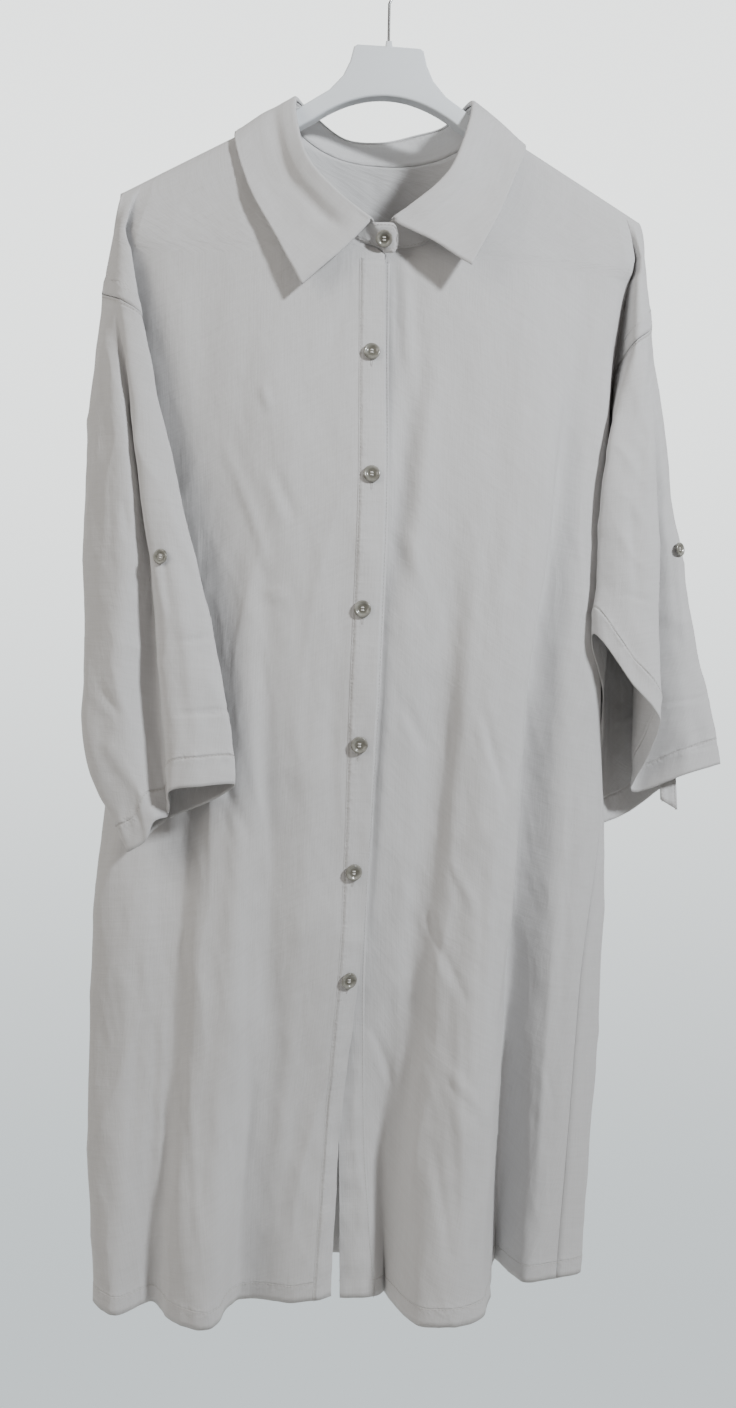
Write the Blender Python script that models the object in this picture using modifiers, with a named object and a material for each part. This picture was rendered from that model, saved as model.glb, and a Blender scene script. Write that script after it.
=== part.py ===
"""Long linen shirt with roll-up sleeves, hanging on a plastic coat hanger with a wire hook.

The origin is where the hook rests on its rod. X runs along the hanger to the viewer's right, Y away
from the viewer and +Z up. Sizes in the tables are centimetres. The shirt is given by its folds: each
row of a fold table is one ridge or valley line that runs down the cloth, with its place across (x)
and its depth (y) at each named height. Every panel is lofted through these lines.
"""

import math
from collections import namedtuple

import bpy
from mathutils import Vector

CM = 0.01

# Cloth
WALL = 0.12
BAND = 0.10
GAP = 0.03
SEAM_INSET = 0.07

# Shoulder line over the hanger arms
SHOULDER_REACH = 22.5
TIP_Z = -23.7
SHOULDER_SLOPE = 0.577
ARM_ROUND = 0.9
CHEST_LEAN = 0.22
BACK_LEAN = 0.16

# Neck
NECK_HALF = 8.8
NECK_SIDE_Z = -15.8
NECK_FRONT_Z = -29.4
NECK_BACK_Z = -17.9
NAPE_DEPTH = 3.2
NECK_SHOULDER_TURN = 0.31
ROLL_HEIGHT = 0.35

# Armhole: the dropped seam leaves the outer crest and runs down into the valley beside the body
SEAM_CREST_Z = -32.4
SEAM_VALLEY_Z = -36.5
UNDERARM_Z = -50.0
ARM_TOP_Z = -27.2
HEM_Z = -119.6
HEM_RISE_Z = -103.0

LEVELS = (-24.0, -36.0, UNDERARM_Z, -66.0, -85.0, HEM_RISE_Z, HEM_Z)

Fold = namedtuple("Fold", "name hem x y")

# Viewer's right: the left front, from its free edge under the placket to the side
LEFT_FRONT_FOLDS = (
    Fold("under_edge", -118.7, (-2.6, -2.6, -2.6, -3.0, -3.6, -3.2, -2.2), (-3.4, -4.0, -6.2, -6.6, -4.4, -1.4, 0.4)),
    Fold("under_band", -118.7, (-0.4, -0.4, -0.4, -0.8, -1.4, -0.9, 0.3), (-3.5, -4.2, -6.3, -6.8, -4.4, -1.2, 0.6)),
    Fold("centre_valley", -118.9, (6.0, 6.2, 5.2, 3.9, 2.7, 1.6, 1.9), (-3.5, -4.9, -6.4, -6.3, -3.9, -0.8, 1.6)),
    Fold("ridge_near", -118.9, (9.6, 9.6, 8.5, 6.8, 5.4, 4.1, 3.9), (-2.9, -4.9, -6.6, -6.9, -5.2, -3.8, -4.0)),
    Fold("centre_ridge", -118.6, (12.6, 12.4, 11.4, 9.9, 8.8, 7.4, 6.9), (-2.4, -4.7, -6.7, -7.2, -6.5, -5.6, -4.9)),
    Fold("ridge_flank", -118.5, (15.6, 15.0, 14.0, 12.6, 11.5, 10.3, 9.9), (-1.9, -4.2, -5.8, -6.1, -5.3, -4.3, -3.2)),
    Fold("side_valley", -118.6, (17.6, 16.7, 15.3, 13.9, 13.1, 12.8, 12.8), (-1.6, -3.3, -4.0, -3.2, -0.8, 2.8, 6.2)),
    Fold("side_lobe", -118.6, (19.6, 18.1, 17.0, 16.0, 15.2, 14.7, 14.5), (-1.3, -2.9, -3.7, -3.5, -2.3, 0.2, 2.0)),
    Fold("side_ridge", -118.6, (20.8, 19.6, 19.3, 18.9, 18.5, 18.0, 17.5), (-1.0, -2.2, -2.7, -2.5, -1.4, 0.4, 2.2)),
    Fold("side_turn", -118.7, (21.9, 20.3, 20.1, 19.9, 20.8, 20.6, 20.0), (-0.9, -0.9, -0.6, -0.4, 0.8, 2.2, 3.4)),
    Fold("side_seam", -118.9, (22.3, 21.1, 20.3, 20.1, 20.4, 20.1, 19.5), (-0.75, 0.8, 1.5, 1.7, 3.0, 4.2, 5.4)),
)
LEFT_ARM_FRONT = (
    Fold("arm_ridge", HEM_Z, (22.5, 21.6, 20.6), (-0.6, -3.0, -3.8)),
    Fold("arm_front", HEM_Z, (22.65, 23.3, 23.4), (-0.35, -2.2, -3.0)),
    Fold("arm_crest", HEM_Z, (22.75, 24.5, 26.4), (0.0, 0.0, 0.0)),
)
LEFT_ARM_BACK = (
    Fold("arm_crest", HEM_Z, (22.75, 24.5, 26.4), (0.0, 0.0, 0.0)),
    Fold("arm_back", HEM_Z, (22.65, 23.4, 24.4), (0.4, 1.9, 2.6)),
    Fold("back_valley", HEM_Z, (22.3, 21.2, 19.7), (0.75, 2.5, 1.5)),
)

# Viewer's left: the right front, whose edge laps over the other, from the edge to the side
RIGHT_FRONT_FOLDS = (
    Fold("front_edge", -118.1, (-0.4, -0.4, -0.35, -0.75, -1.2, -2.6, -3.1), (-4.4, -4.9, -6.8, -7.3, -5.0, -1.9, -0.5)),
    Fold("band_line", -118.2, (-2.6, -2.5, -2.5, -2.9, -3.4, -4.7, -5.2), (-4.3, -4.9, -6.8, -7.3, -5.1, -2.0, -0.6)),
    Fold("centre_lobe", -118.5, (-5.2, -5.0, -5.2, -5.6, -6.1, -7.0, -7.7), (-3.9, -4.8, -6.6, -7.0, -5.2, -2.4, -0.5)),
    Fold("middle_valley", -118.9, (-9.2, -8.8, -9.2, -9.4, -9.5, -10.2, -11.0), (-3.1, -4.5, -6.0, -6.2, -4.7, -2.0, 0.9)),
    Fold("middle_lobe", -119.4, (-13.0, -12.2, -12.0, -12.0, -12.3, -12.8, -13.4), (-2.4, -4.0, -5.0, -5.6, -5.2, -4.0, -2.6)),
    Fold("lobe_flank", -119.4, (-16.2, -15.2, -14.8, -14.2, -14.4, -15.3, -16.2), (-1.9, -3.3, -3.8, -4.2, -4.5, -3.2, -1.7)),
    Fold("side_valley", -119.0, (-18.6, -17.6, -17.0, -16.4, -16.4, -17.3, -18.6), (-1.5, -2.4, -2.3, -2.4, -3.0, -1.2, 1.0)),
    Fold("side_lobe", -119.2, (-20.6, -19.6, -19.4, -19.4, -20.6, -21.0, -21.3), (-1.2, -1.4, -1.1, -1.2, -2.2, -1.6, -0.5)),
    Fold("side_turn", -119.0, (-21.9, -21.2, -21.3, -22.1, -23.8, -24.0, -23.5), (-0.9, -0.3, 0.0, 0.2, 0.0, 0.6, 1.2)),
    Fold("side_seam", -119.2, (-22.3, -22.2, -21.6, -22.2, -23.4, -23.6, -23.1), (-0.75, 0.8, 1.3, 1.8, 2.4, 3.0, 3.6)),
)
RIGHT_ARM_FRONT = (
    Fold("arm_edge", HEM_Z, (-22.5, -20.2, -17.2), (-0.6, -3.5, -5.0)),
    Fold("arm_front", HEM_Z, (-22.65, -22.0, -20.0), (-0.4, -3.6, -5.6)),
    Fold("arm_crest", HEM_Z, (-22.75, -24.5, -24.9), (0.0, -0.4, -0.8)),
)
RIGHT_ARM_BACK = (
    Fold("arm_crest", HEM_Z, (-22.75, -24.5, -24.9), (0.0, -0.4, -0.8)),
    Fold("arm_back", HEM_Z, (-22.65, -23.8, -24.0), (0.4, 1.3, 1.4)),
    Fold("back_valley", HEM_Z, (-22.3, -22.5, -21.6), (0.75, 1.9, 1.3)),
)

# Back: depth of the cloth behind the hanger at each level, and its soft folds across the width
BACK_DEPTH = (3.0, 4.8, 5.6, 6.0, 6.8, 7.9, 9.0)
BackFold = namedtuple("BackFold", "name across chest hem")
BACK_FOLDS = (
    BackFold("right_side", 0.08, 0.0, 0.8),
    BackFold("right_valley", 0.18, -0.1, 0.4),
    BackFold("right_ridge", 0.29, 0.2, 1.0),
    BackFold("inner_right_valley", 0.40, -0.1, -1.0),
    BackFold("centre_ridge", 0.52, 0.2, 0.9),
    BackFold("inner_left_valley", 0.63, -0.2, -1.3),
    BackFold("left_ridge", 0.74, 0.2, 0.8),
    BackFold("left_valley", 0.84, -0.1, -1.0),
    BackFold("left_side", 0.93, 0.0, 0.3),
)

# Sleeves: each row is a line round the tube, with its place on the armhole seam and on the cuff rim
SLEEVE_LEVELS = (-34.0, -44.0, -55.0, -65.0, -72.0, -79.0)
SleeveFold = namedtuple("SleeveFold", "name top rim x y")
LEFT_SLEEVE_FOLDS = (
    SleeveFold("underarm", -50.0, -74.5, (21.5, 21.2, 20.95, 20.9, 21.1, 21.3), (1.4, 1.6, 1.5, 1.4, 1.4, 1.4)),
    SleeveFold("inner_front", -38.5, -66.0, (21.4, 20.9, 20.6, 20.4, 20.5, 20.6), (0.4, -1.4, -2.1, -2.2, -2.0, -1.8)),
    SleeveFold("lobe_inner", -35.6, -60.6, (21.7, 19.3, 18.2, 17.95, 17.95, 17.95), (-1.6, -3.7, -4.2, -4.4, -4.4, -4.4)),
    SleeveFold("lobe_front", -34.9, -64.6, (22.4, 21.2, 20.9, 20.9, 21.0, 21.0), (-2.6, -4.1, -5.0, -5.5, -5.6, -5.6)),
    SleeveFold("lobe_outer", -34.2, -68.0, (23.3, 23.3, 23.5, 23.6, 23.6, 23.6), (-2.2, -3.4, -4.1, -4.7, -4.8, -4.8)),
    SleeveFold("lobe_valley", -33.8, -74.3, (23.6, 23.7, 23.5, 23.4, 23.4, 23.4), (-1.6, -1.3, 0.0, 0.8, 1.2, 1.3)),
    SleeveFold("outer_front", -33.2, -72.6, (23.9, 24.7, 25.8, 27.0, 27.6, 27.7), (-0.9, -1.0, -1.0, -0.9, -0.9, -0.9)),
    SleeveFold("crest", SEAM_CREST_Z, -71.7, (24.2, 25.5, 27.5, 29.7, 31.1, 31.3), (0.0, 0.1, 0.2, 0.3, 0.4, 0.4)),
    SleeveFold("outer_back", -34.2, -73.0, (23.6, 24.4, 25.8, 27.6, 28.5, 28.6), (1.4, 2.0, 2.6, 3.0, 3.2, 3.2)),
    SleeveFold("middle_back", -35.6, -76.4, (22.4, 22.9, 23.3, 23.6, 24.0, 24.2), (2.3, 3.0, 3.7, 4.0, 4.0, 4.0)),
    SleeveFold("inner_back", -40.0, -77.3, (21.5, 21.5, 21.4, 21.2, 21.3, 21.4), (2.3, 2.9, 3.4, 3.4, 3.2, 3.0)),
)
RIGHT_SLEEVE_FOLDS = (
    SleeveFold("underarm", -50.0, -76.6, (-22.2, -22.2, -22.0, -20.2, -18.5, -16.7), (1.0, 0.4, -0.8, -2.6, -3.5, -4.3)),
    SleeveFold("inner_layer", -38.5, -74.9, (-21.7, -20.7, -18.0, -15.3, -14.0, -13.4), (-0.9, -2.9, -4.5, -5.7, -6.3, -6.5)),
    SleeveFold("flap_edge", -35.0, -73.5, (-20.8, -18.5, -15.6, -13.2, -12.0, -11.8), (-3.3, -4.5, -6.2, -7.2, -7.7, -7.8)),
    SleeveFold("flap_front", -34.3, -73.6, (-21.6, -19.8, -17.3, -15.7, -14.6, -14.3), (-3.7, -5.1, -6.9, -8.0, -8.5, -8.6)),
    SleeveFold("flap_fold", -33.9, -74.1, (-22.4, -20.7, -19.0, -17.7, -17.0, -16.6), (-3.5, -4.9, -6.2, -7.2, -7.7, -7.8)),
    SleeveFold("lobe_valley", -33.6, -76.2, (-22.8, -20.9, -19.0, -17.6, -16.9, -16.4), (-3.1, -3.8, -4.8, -5.5, -6.0, -6.3)),
    SleeveFold("lobe_inner", -33.3, -76.6, (-23.1, -21.6, -20.1, -19.9, -19.1, -17.1), (-2.9, -4.5, -5.6, -6.1, -6.3, -6.4)),
    SleeveFold("lobe_front", -32.9, -78.2, (-23.7, -22.9, -22.4, -22.2, -21.2, -18.6), (-2.0, -3.4, -4.4, -5.0, -5.6, -5.9)),
    SleeveFold("crest", SEAM_CREST_Z, -79.2, (-24.3, -24.9, -24.8, -24.5, -23.9, -20.4), (-0.4, -0.9, -1.6, -2.4, -3.6, -5.1)),
    SleeveFold("outer_back", -34.2, -78.9, (-23.8, -24.1, -23.8, -23.3, -22.4, -19.7), (0.8, 0.8, 0.5, -0.8, -2.2, -4.0)),
    SleeveFold("inner_back", -38.0, -77.7, (-22.6, -22.7, -22.5, -21.9, -20.6, -18.2), (1.4, 1.4, 0.5, -1.2, -2.5, -3.9)),
)
SLEEVE_COLUMNS_PER_FOLD = 3
SLEEVE_ROWS = 15
SLEEVE_OFFSET = 0.2

# Collar: a row for each station from the viewer's left point, round the back, to the right one
CollarStation = namedtuple("CollarStation", "name turn roll crease edge")
COLLAR_STATIONS = (
    CollarStation("left_point", 0.00, (-1.6, -5.6, -27.0), (-3.9, -5.7, -29.6), (-7.3, -5.9, -32.8)),
    CollarStation("left_chest", 0.10, (-4.7, -5.0, -24.4), (-7.0, -4.5, -26.4), (-9.6, -4.9, -28.3)),
    CollarStation("left_neck", 0.20, (-7.1, -3.7, -20.9), (-9.7, -3.0, -22.6), (-11.9, -3.4, -23.6)),
    CollarStation("left_shoulder", 0.31, (-7.9, -0.3, -14.8), (-10.8, -0.3, -16.3), (-13.0, -0.3, -17.9)),
    CollarStation("left_nape", 0.39, (-6.2, 3.8, -13.9), (-8.2, 4.8, -16.6), (-9.2, 5.0, -19.2)),
    CollarStation("nape_left", 0.45, (-3.3, 5.2, -15.1), (-4.1, 6.1, -17.2), (-4.6, 6.2, -19.8)),
    CollarStation("nape", 0.50, (0.0, 5.6, -15.0), (0.0, 6.5, -17.2), (0.0, 6.6, -19.9)),
    CollarStation("nape_right", 0.55, (3.1, 5.3, -14.3), (4.1, 6.2, -16.9), (4.6, 6.2, -19.8)),
    CollarStation("right_nape", 0.61, (5.5, 3.9, -14.1), (7.8, 4.9, -16.4), (8.8, 5.0, -19.1)),
    CollarStation("right_shoulder", 0.69, (7.3, -0.3, -14.1), (9.8, -0.3, -15.6), (12.1, -0.3, -17.4)),
    CollarStation("right_neck", 0.80, (5.7, -3.7, -20.2), (8.2, -3.3, -21.8), (10.4, -3.6, -22.6)),
    CollarStation("right_chest", 0.90, (3.9, -4.7, -23.3), (6.2, -4.9, -25.4), (8.6, -5.5, -26.8)),
    CollarStation("right_point", 1.00, (0.2, -5.2, -26.6), (3.3, -6.0, -28.7), (6.5, -6.9, -30.9)),
)
COLLAR_COLUMNS = 41
ROLL_BEND = 0.2
FALL_KNOTS = (0.0, 0.06, 0.12, 0.19, 0.5, 1.0)
FALL_PLACES = (0.0, 0.06, 0.12, 0.19, 0.3, 0.4, 0.5, 0.75, 1.0)

# Ends of the stand: the rounded tab that laps over, and the square end under it
StandColumn = namedtuple("StandColumn", "name low high")
STAND_TAB = (
    StandColumn("tip", (0.62, -4.9, -28.8), (0.58, -5.15, -27.9)),
    StandColumn("rounding", (0.45, -4.8, -29.25), (0.35, -5.3, -27.4)),
    StandColumn("corner", (0.15, -4.75, -29.45), (-0.05, -5.35, -27.2)),
)
STAND_UNDER = (StandColumn("under_end", (-2.4, -3.75, -29.15), (-1.6, -4.1, -27.8)),)

# Buttons
BUTTON_HEIGHTS = (-38.2, -48.6, -59.3, -70.3, -80.9, -90.3)
COLLAR_BUTTON_RISE = 0.48
COLLAR_BUTTON_ACROSS = 0.4
BUTTON_RADIUS = 0.75
SLEEVE_BUTTON_RADIUS = 0.62
BUTTON_LIFT = WALL / 2 + BAND + 2.5 * GAP
SLEEVE_BUTTON_LIFT = WALL / 2 + 2.5 * GAP
COLLAR_BUTTON_LIFT = WALL / 2 + 4 * GAP
# Half section of the dished button as shares of its radius, from the rim's face round to the back
BUTTON_SECTION = ((0.0, 0.22), (0.60, 0.24), (0.72, 0.36), (0.88, 0.40), (0.98, 0.33), (1.0, 0.16), (0.85, 0.0), (0.0, 0.0))
BUTTON_STEPS = 14

# Roll-up strap that hangs inside the sleeve on the viewer's right and out of its cuff
StrapRow = namedtuple("StrapRow", "name left right depth left_z right_z")
STRAP_ROWS = (
    StrapRow("upper", 25.3, 26.65, 0.5, -59.5, -59.5),
    StrapRow("middle", 25.5, 26.95, 0.9, -66.0, -66.0),
    StrapRow("cuff", 25.8, 27.3, 0.9, -72.0, -72.0),
    StrapRow("free_end", 25.9, 27.45, 0.7, -75.0, -75.9),
)
STRAP_SEWN_SHARES = (0.50, 0.53)
STRAP_SEWN_PLACES = (6.2, 6.8)

# Hanger: half outline of its body, from the top middle out to the arm tip and back along the underside
HangerPoint = namedtuple("HangerPoint", "name x z")
HANGER_OUTLINE = (
    HangerPoint("boss_top", 0.26, -9.25),
    HangerPoint("boss_foot", 0.30, -9.72),
    HangerPoint("neck_top", 2.75, -9.75),
    HangerPoint("neck_corner", 3.05, -9.95),
    HangerPoint("neck", 3.35, -11.2),
    HangerPoint("flare", 3.95, -12.5),
    HangerPoint("lower_flare", 5.1, -13.8),
    HangerPoint("arm_root", 7.2, -15.2),
    HangerPoint("arm_top", 9.4, -16.9),
    HangerPoint("arm_outer", 20.6, -23.2),
    HangerPoint("tip_top", 21.3, -23.8),
    HangerPoint("tip", 21.5, -24.3),
    HangerPoint("tip_under", 21.1, -24.9),
    HangerPoint("arm_under", 20.3, -24.8),
    HangerPoint("inner_under", 8.6, -17.85),
)
ARCH_Z = -14.1
ARCH_BEND = 0.0585
ARCH_HALF = 6.3
HANGER_HALF_DEPTH = 0.55
HANGER_ROUND = 0.2

# Hook
WIRE_RADIUS = 0.125
HOOK_RADIUS = 2.4
HOOK_NECK_Z = -5.8
HOOK_TURN = 285.0

LINEN = (0.62, 0.58, 0.53)
PLASTIC_WHITE = (0.82, 0.84, 0.85)
BUTTON_GREY = (0.30, 0.29, 0.25)
STEEL = (0.62, 0.63, 0.64)


def clear_scene():
    for old in list(bpy.data.objects):
        bpy.data.objects.remove(old)


def new_collection(name):
    collection = bpy.data.collections.new(name)
    bpy.context.scene.collection.children.link(collection)
    return collection


def material(name, color, roughness, metallic=0.0):
    made = bpy.data.materials.new(name)
    made.use_nodes = True
    shader = made.node_tree.nodes["Principled BSDF"]
    shader.inputs["Base Color"].default_value = (*color, 1.0)
    shader.inputs["Roughness"].default_value = roughness
    shader.inputs["Metallic"].default_value = metallic
    return made


def mix(a, b, f):
    return a + (b - a) * f


def smooth_step(low, high, value):
    f = min(max((value - low) / (high - low), 0.0), 1.0)
    return f * f * (3 - 2 * f)


def spread(start, end, count):
    return [mix(start, end, i / (count - 1)) for i in range(count)]


def curve_at(knots, values, t):
    """Smooth curve through the values at rising knots, with slopes from the neighbours."""
    last = len(knots) - 1
    k = 0
    while k < last - 1 and t > knots[k + 1]:
        k += 1
    span = knots[k + 1] - knots[k]
    f = (t - knots[k]) / span

    def slope(i):
        before = max(i - 1, 0)
        after = min(i + 1, last)
        return (values[after] - values[before]) / (knots[after] - knots[before])

    leaving = slope(k) * span
    arriving = slope(k + 1) * span
    return (
        values[k] * (2 * f**3 - 3 * f**2 + 1)
        + leaving * (f**3 - 2 * f**2 + f)
        + values[k + 1] * (3 * f**2 - 2 * f**3)
        + arriving * (f**3 - f**2)
    )


def at_height(levels, values, z):
    """Value of a table row at height z. The levels fall from the top down."""
    depths = [-level for level in levels[: len(values)]]
    return curve_at(depths, values, min(max(-z, depths[0]), depths[-1]))


def across(points, s):
    """Point at place s (a count of fold lines) on the smooth curve through the fold lines."""
    knots = [0.0]
    for a, b in zip(points, points[1:]):
        knots.append(knots[-1] + max((b - a).length, 0.02) ** 0.7)
    k = min(int(s), len(points) - 2)
    return curve_at(knots, points, mix(knots[k], knots[k + 1], s - k))


def ridge_z(x):
    """Height of the shoulder line over the hanger arm."""
    return TIP_Z + (SHOULDER_REACH - min(max(abs(x), NECK_HALF), SHOULDER_REACH)) * SHOULDER_SLOPE


def ridge_x(z):
    """Reach of the shoulder line at height z."""
    return SHOULDER_REACH - (z - TIP_Z) / SHOULDER_SLOPE


def off_arm(x, z, lean):
    """Depth of cloth that bends over the hanger arm and then leans away from it."""
    drop = max(ridge_z(x) - z, 0.0)
    return GAP + ARM_ROUND * math.sqrt(1.0 - math.exp(-drop / 0.8)) + lean * drop


def chest_y(x, z):
    return -off_arm(x, z, CHEST_LEAN)


def upper_back_y(x, z):
    nape = NAPE_DEPTH * max(0.0, 1.0 - (x / (NECK_HALF + 1.0)) ** 2)
    return off_arm(x, z, BACK_LEAN) + nape


def fold_point(fold, z):
    return Vector((at_height(LEVELS, fold.x, z), at_height(LEVELS, fold.y, z), z))


def hem_drop(hems, s, z):
    """How far the hem at place s hangs above the lowest level, eased in from the height it starts at."""
    k = min(int(s), len(hems) - 2)
    hem = mix(hems[k], hems[k + 1], smooth_step(0.0, 1.0, s - k))
    return (hem - HEM_Z) * smooth_step(-HEM_RISE_Z, -HEM_Z, -z)


def neck_half(z):
    """Half width of the front neck opening at height z."""
    f = min(max((NECK_SIDE_Z - z) / (NECK_SIDE_Z - NECK_FRONT_Z), 0.0), 1.0)
    return NECK_HALF * (1.0 - f**2) ** 0.6


def seam_share(z):
    """Share of the way along the armhole seam from the outer crest down to the valley beside the body."""
    return min(max((SEAM_CREST_Z - z) / (SEAM_CREST_Z - SEAM_VALLEY_Z), 0.0), 1.0)


def over_seam(z, share):
    """Height of a row where the cloth ends on the slanting armhole seam, at a share of the way along it."""
    if z >= ARM_TOP_Z:
        return z
    end = mix(SEAM_CREST_Z, SEAM_VALLEY_Z, share)
    return mix(ARM_TOP_Z, end, (ARM_TOP_Z - z) / (ARM_TOP_Z - SEAM_VALLEY_Z))


class Front:
    """One front of the shirt: a section through its fold lines at any height."""

    def __init__(self, folds, arm, side, wrap):
        self.folds = folds
        self.arm = arm
        self.side = side
        self.wrap = wrap
        self.seam_index = len(folds) - 1
        self.crest_index = self.seam_index + len(arm)
        self.hems = [fold.hem for fold in folds + arm]

    def lines(self, z):
        used = self.folds + self.arm if z > UNDERARM_Z else self.folds
        return [fold_point(fold, z) for fold in used]

    def side_wrap(self, z):
        """How far the back wraps forward past the side, in fold lines."""
        return self.wrap * smooth_step(-UNDERARM_Z, 92.0, -z)

    def edge(self, z):
        """Place of the armhole seam, then of the side seam, on the section at height z."""
        if z > UNDERARM_Z:
            return mix(self.crest_index, self.seam_index, seam_share(z))
        return self.seam_index - self.side_wrap(z)

    def point(self, s, z):
        lines = self.lines(z)
        p = across(lines, s)
        if z > NECK_FRONT_Z:
            first = lines[0].x * self.side
            reach = lines[-1].x * self.side
            end = ridge_x(z) if z > TIP_Z else reach
            begin = mix(neck_half(z), first, smooth_step(-NECK_FRONT_Z - 1.0, -NECK_FRONT_Z, -z))
            p.x = mix(begin, end, (p.x * self.side - first) / (reach - first)) * self.side
        own = smooth_step(-TIP_Z, -TIP_Z + 8.0, -z)
        if z <= TIP_Z:
            own = max(own, smooth_step(20.0, 22.2, abs(p.x)))
        p.y = mix(chest_y(p.x, z), p.y, own)
        p.z += hem_drop(self.hems, s, z)
        return p


LEFT = Front(LEFT_FRONT_FOLDS, LEFT_ARM_FRONT, 1, 2.0)
RIGHT = Front(RIGHT_FRONT_FOLDS, RIGHT_ARM_FRONT, -1, 0.0)


class Back:
    """The back, from the left side seam (viewer's right) across to the right one."""

    side_count = 3
    valley = 2.0

    def __init__(self):
        self.last = len(BACK_FOLDS) + 2 * self.side_count - 1
        left = [fold.hem for fold in LEFT_FRONT_FOLDS[-self.side_count :]]
        right = [fold.hem for fold in RIGHT_FRONT_FOLDS[-self.side_count :]]
        self.hems = left + [HEM_Z] * len(BACK_FOLDS) + right[::-1]

    def side_lines(self, front, arm_back, z):
        """The three lines at one side, from the outermost inwards."""
        if z > UNDERARM_Z:
            return [fold_point(fold, z) for fold in arm_back]
        return front.lines(z)[-self.side_count :]

    def lines(self, z):
        left = self.side_lines(LEFT, LEFT_ARM_BACK, z)
        right = self.side_lines(RIGHT, RIGHT_ARM_BACK, z)
        depth = at_height(LEVELS, BACK_DEPTH, z)
        middle = []
        for fold in BACK_FOLDS:
            x = mix(left[-1].x, right[-1].x, fold.across)
            side_y = mix(left[-1].y, right[-1].y, fold.across)
            bow = (1.0 - abs(2.0 * fold.across - 1.0) ** 3) ** 0.6
            grown = mix(fold.chest, fold.hem, smooth_step(36.0, -HEM_Z, -z))
            middle.append(Vector((x, mix(side_y, depth, bow) + grown, z)))
        return left + middle + right[::-1]

    def ends(self, z):
        """Places of the two armhole seams, then of the side seams, at height z."""
        if z > UNDERARM_Z:
            inset = self.valley * seam_share(z)
            return inset, self.last - inset
        return self.valley - LEFT.side_wrap(z), self.last - self.valley + RIGHT.side_wrap(z)

    def point(self, s, z):
        lines = self.lines(z)
        p = across(lines, s)
        own = smooth_step(-TIP_Z, -TIP_Z + 10.0, -z)
        if z > TIP_Z:
            p.x *= ridge_x(z) / abs(lines[0].x if p.x > 0 else lines[-1].x)
        else:
            own = max(own, smooth_step(20.0, 22.2, abs(p.x)))
        p.y = mix(upper_back_y(p.x, z), p.y, own)
        p.z += hem_drop(self.hems, s, z)
        return p


BACK = Back()

SHOULDER_SHARES = (0.0, 0.03, 0.1, 0.22, 0.36, 0.52, 0.68, 0.84)
YOKE_ROWS = (-19.3, -20.8, -22.3)
CHEST_ROWS = (TIP_Z, -25.5, ARM_TOP_Z, NECK_FRONT_Z)
ARM_ROWS = (-31.0, -32.8, -34.6, SEAM_VALLEY_Z)
SIDE_ROWS = (-39.5, -43.0, -46.5, UNDERARM_Z)
SKIRT_ROWS = (-53.5, -58.5, -64.0, -70.5, -77.0, -84.0, -91.0, -98.0, -105.0, -111.0, -115.5, HEM_Z)
BODY_ROWS = ARM_ROWS + SIDE_ROWS + SKIRT_ROWS
FRONT_ROWS = (ARM_TOP_Z, -28.4, NECK_FRONT_Z) + BODY_ROWS
BACK_ROWS = YOKE_ROWS + CHEST_ROWS + BODY_ROWS
NECK_SHARES = (0.0, 0.3, 0.65)
SIDE_COLUMNS = 7
ARM_COLUMNS = 7
BACK_SIDE_COLUMNS = 4
BACK_MIDDLE_COLUMNS = 17


def inset_ends(row, gap):
    """Row with both ends pulled in by a gap, so that seams stay apart."""
    first = row[0] + (row[1] - row[0]).normalized() * gap
    last = row[-1] + (row[-2] - row[-1]).normalized() * gap
    return [first] + row[1:-1] + [last]


def front_row(front, z):
    """Points across one row of a front. Its arm columns are left empty below the armhole seam."""
    turn = front.seam_index - 4
    seam = front.seam_index if z >= SEAM_VALLEY_Z else front.edge(z)
    places = spread(0.0, turn, 2 * turn + 1) + spread(turn, seam, SIDE_COLUMNS)[1:]
    row = [front.point(s, z) for s in places]
    if z < SEAM_VALLEY_Z:
        return inset_ends(row, SEAM_INSET) + [None] * (ARM_COLUMNS - 1)
    for share in spread(1.0, 0.0, ARM_COLUMNS)[1:]:
        row.append(front.point(mix(front.crest_index, front.seam_index, share), over_seam(z, share)))
    return inset_ends(row, SEAM_INSET)


def shoulder_rows(front, lowest):
    """Rows between the shoulder line and the lowest full row, held to the neckline at their near end."""
    reached = [0.0]
    for a, b in zip(lowest, lowest[1:]):
        reached.append(reached[-1] + (b - a).length)
    neck_end = neck_half(ARM_TOP_Z)
    rows = []
    for share in SHOULDER_SHARES:
        bow = neck_half(mix(NECK_SIDE_Z, ARM_TOP_Z, share)) - mix(NECK_HALF, neck_end, share) + 2 * GAP
        row = []
        for low, length in zip(lowest, reached):
            place = length / reached[-1]
            top_x = mix(NECK_HALF, SHOULDER_REACH, place)
            x = mix(top_x, abs(low.x), share) + bow * (1.0 - place) ** 2
            z = mix(ridge_z(top_x), low.z, share)
            y = chest_y(x, z) + (low.y - chest_y(low.x, low.z)) * share**2
            row.append(Vector((x * front.side, y, z)))
        rows.append(row)
    for top, below in zip(rows[0], rows[1]):
        top += (below - top).normalized() * SEAM_INSET
    return rows


def front_grid(front):
    full = [front_row(front, z) for z in FRONT_ROWS]
    return shoulder_rows(front, full[0]) + full


def back_neck_z(x):
    return mix(NECK_BACK_Z, NECK_SIDE_Z, min(abs(x) / NECK_HALF, 1.0) ** 3)


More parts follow.
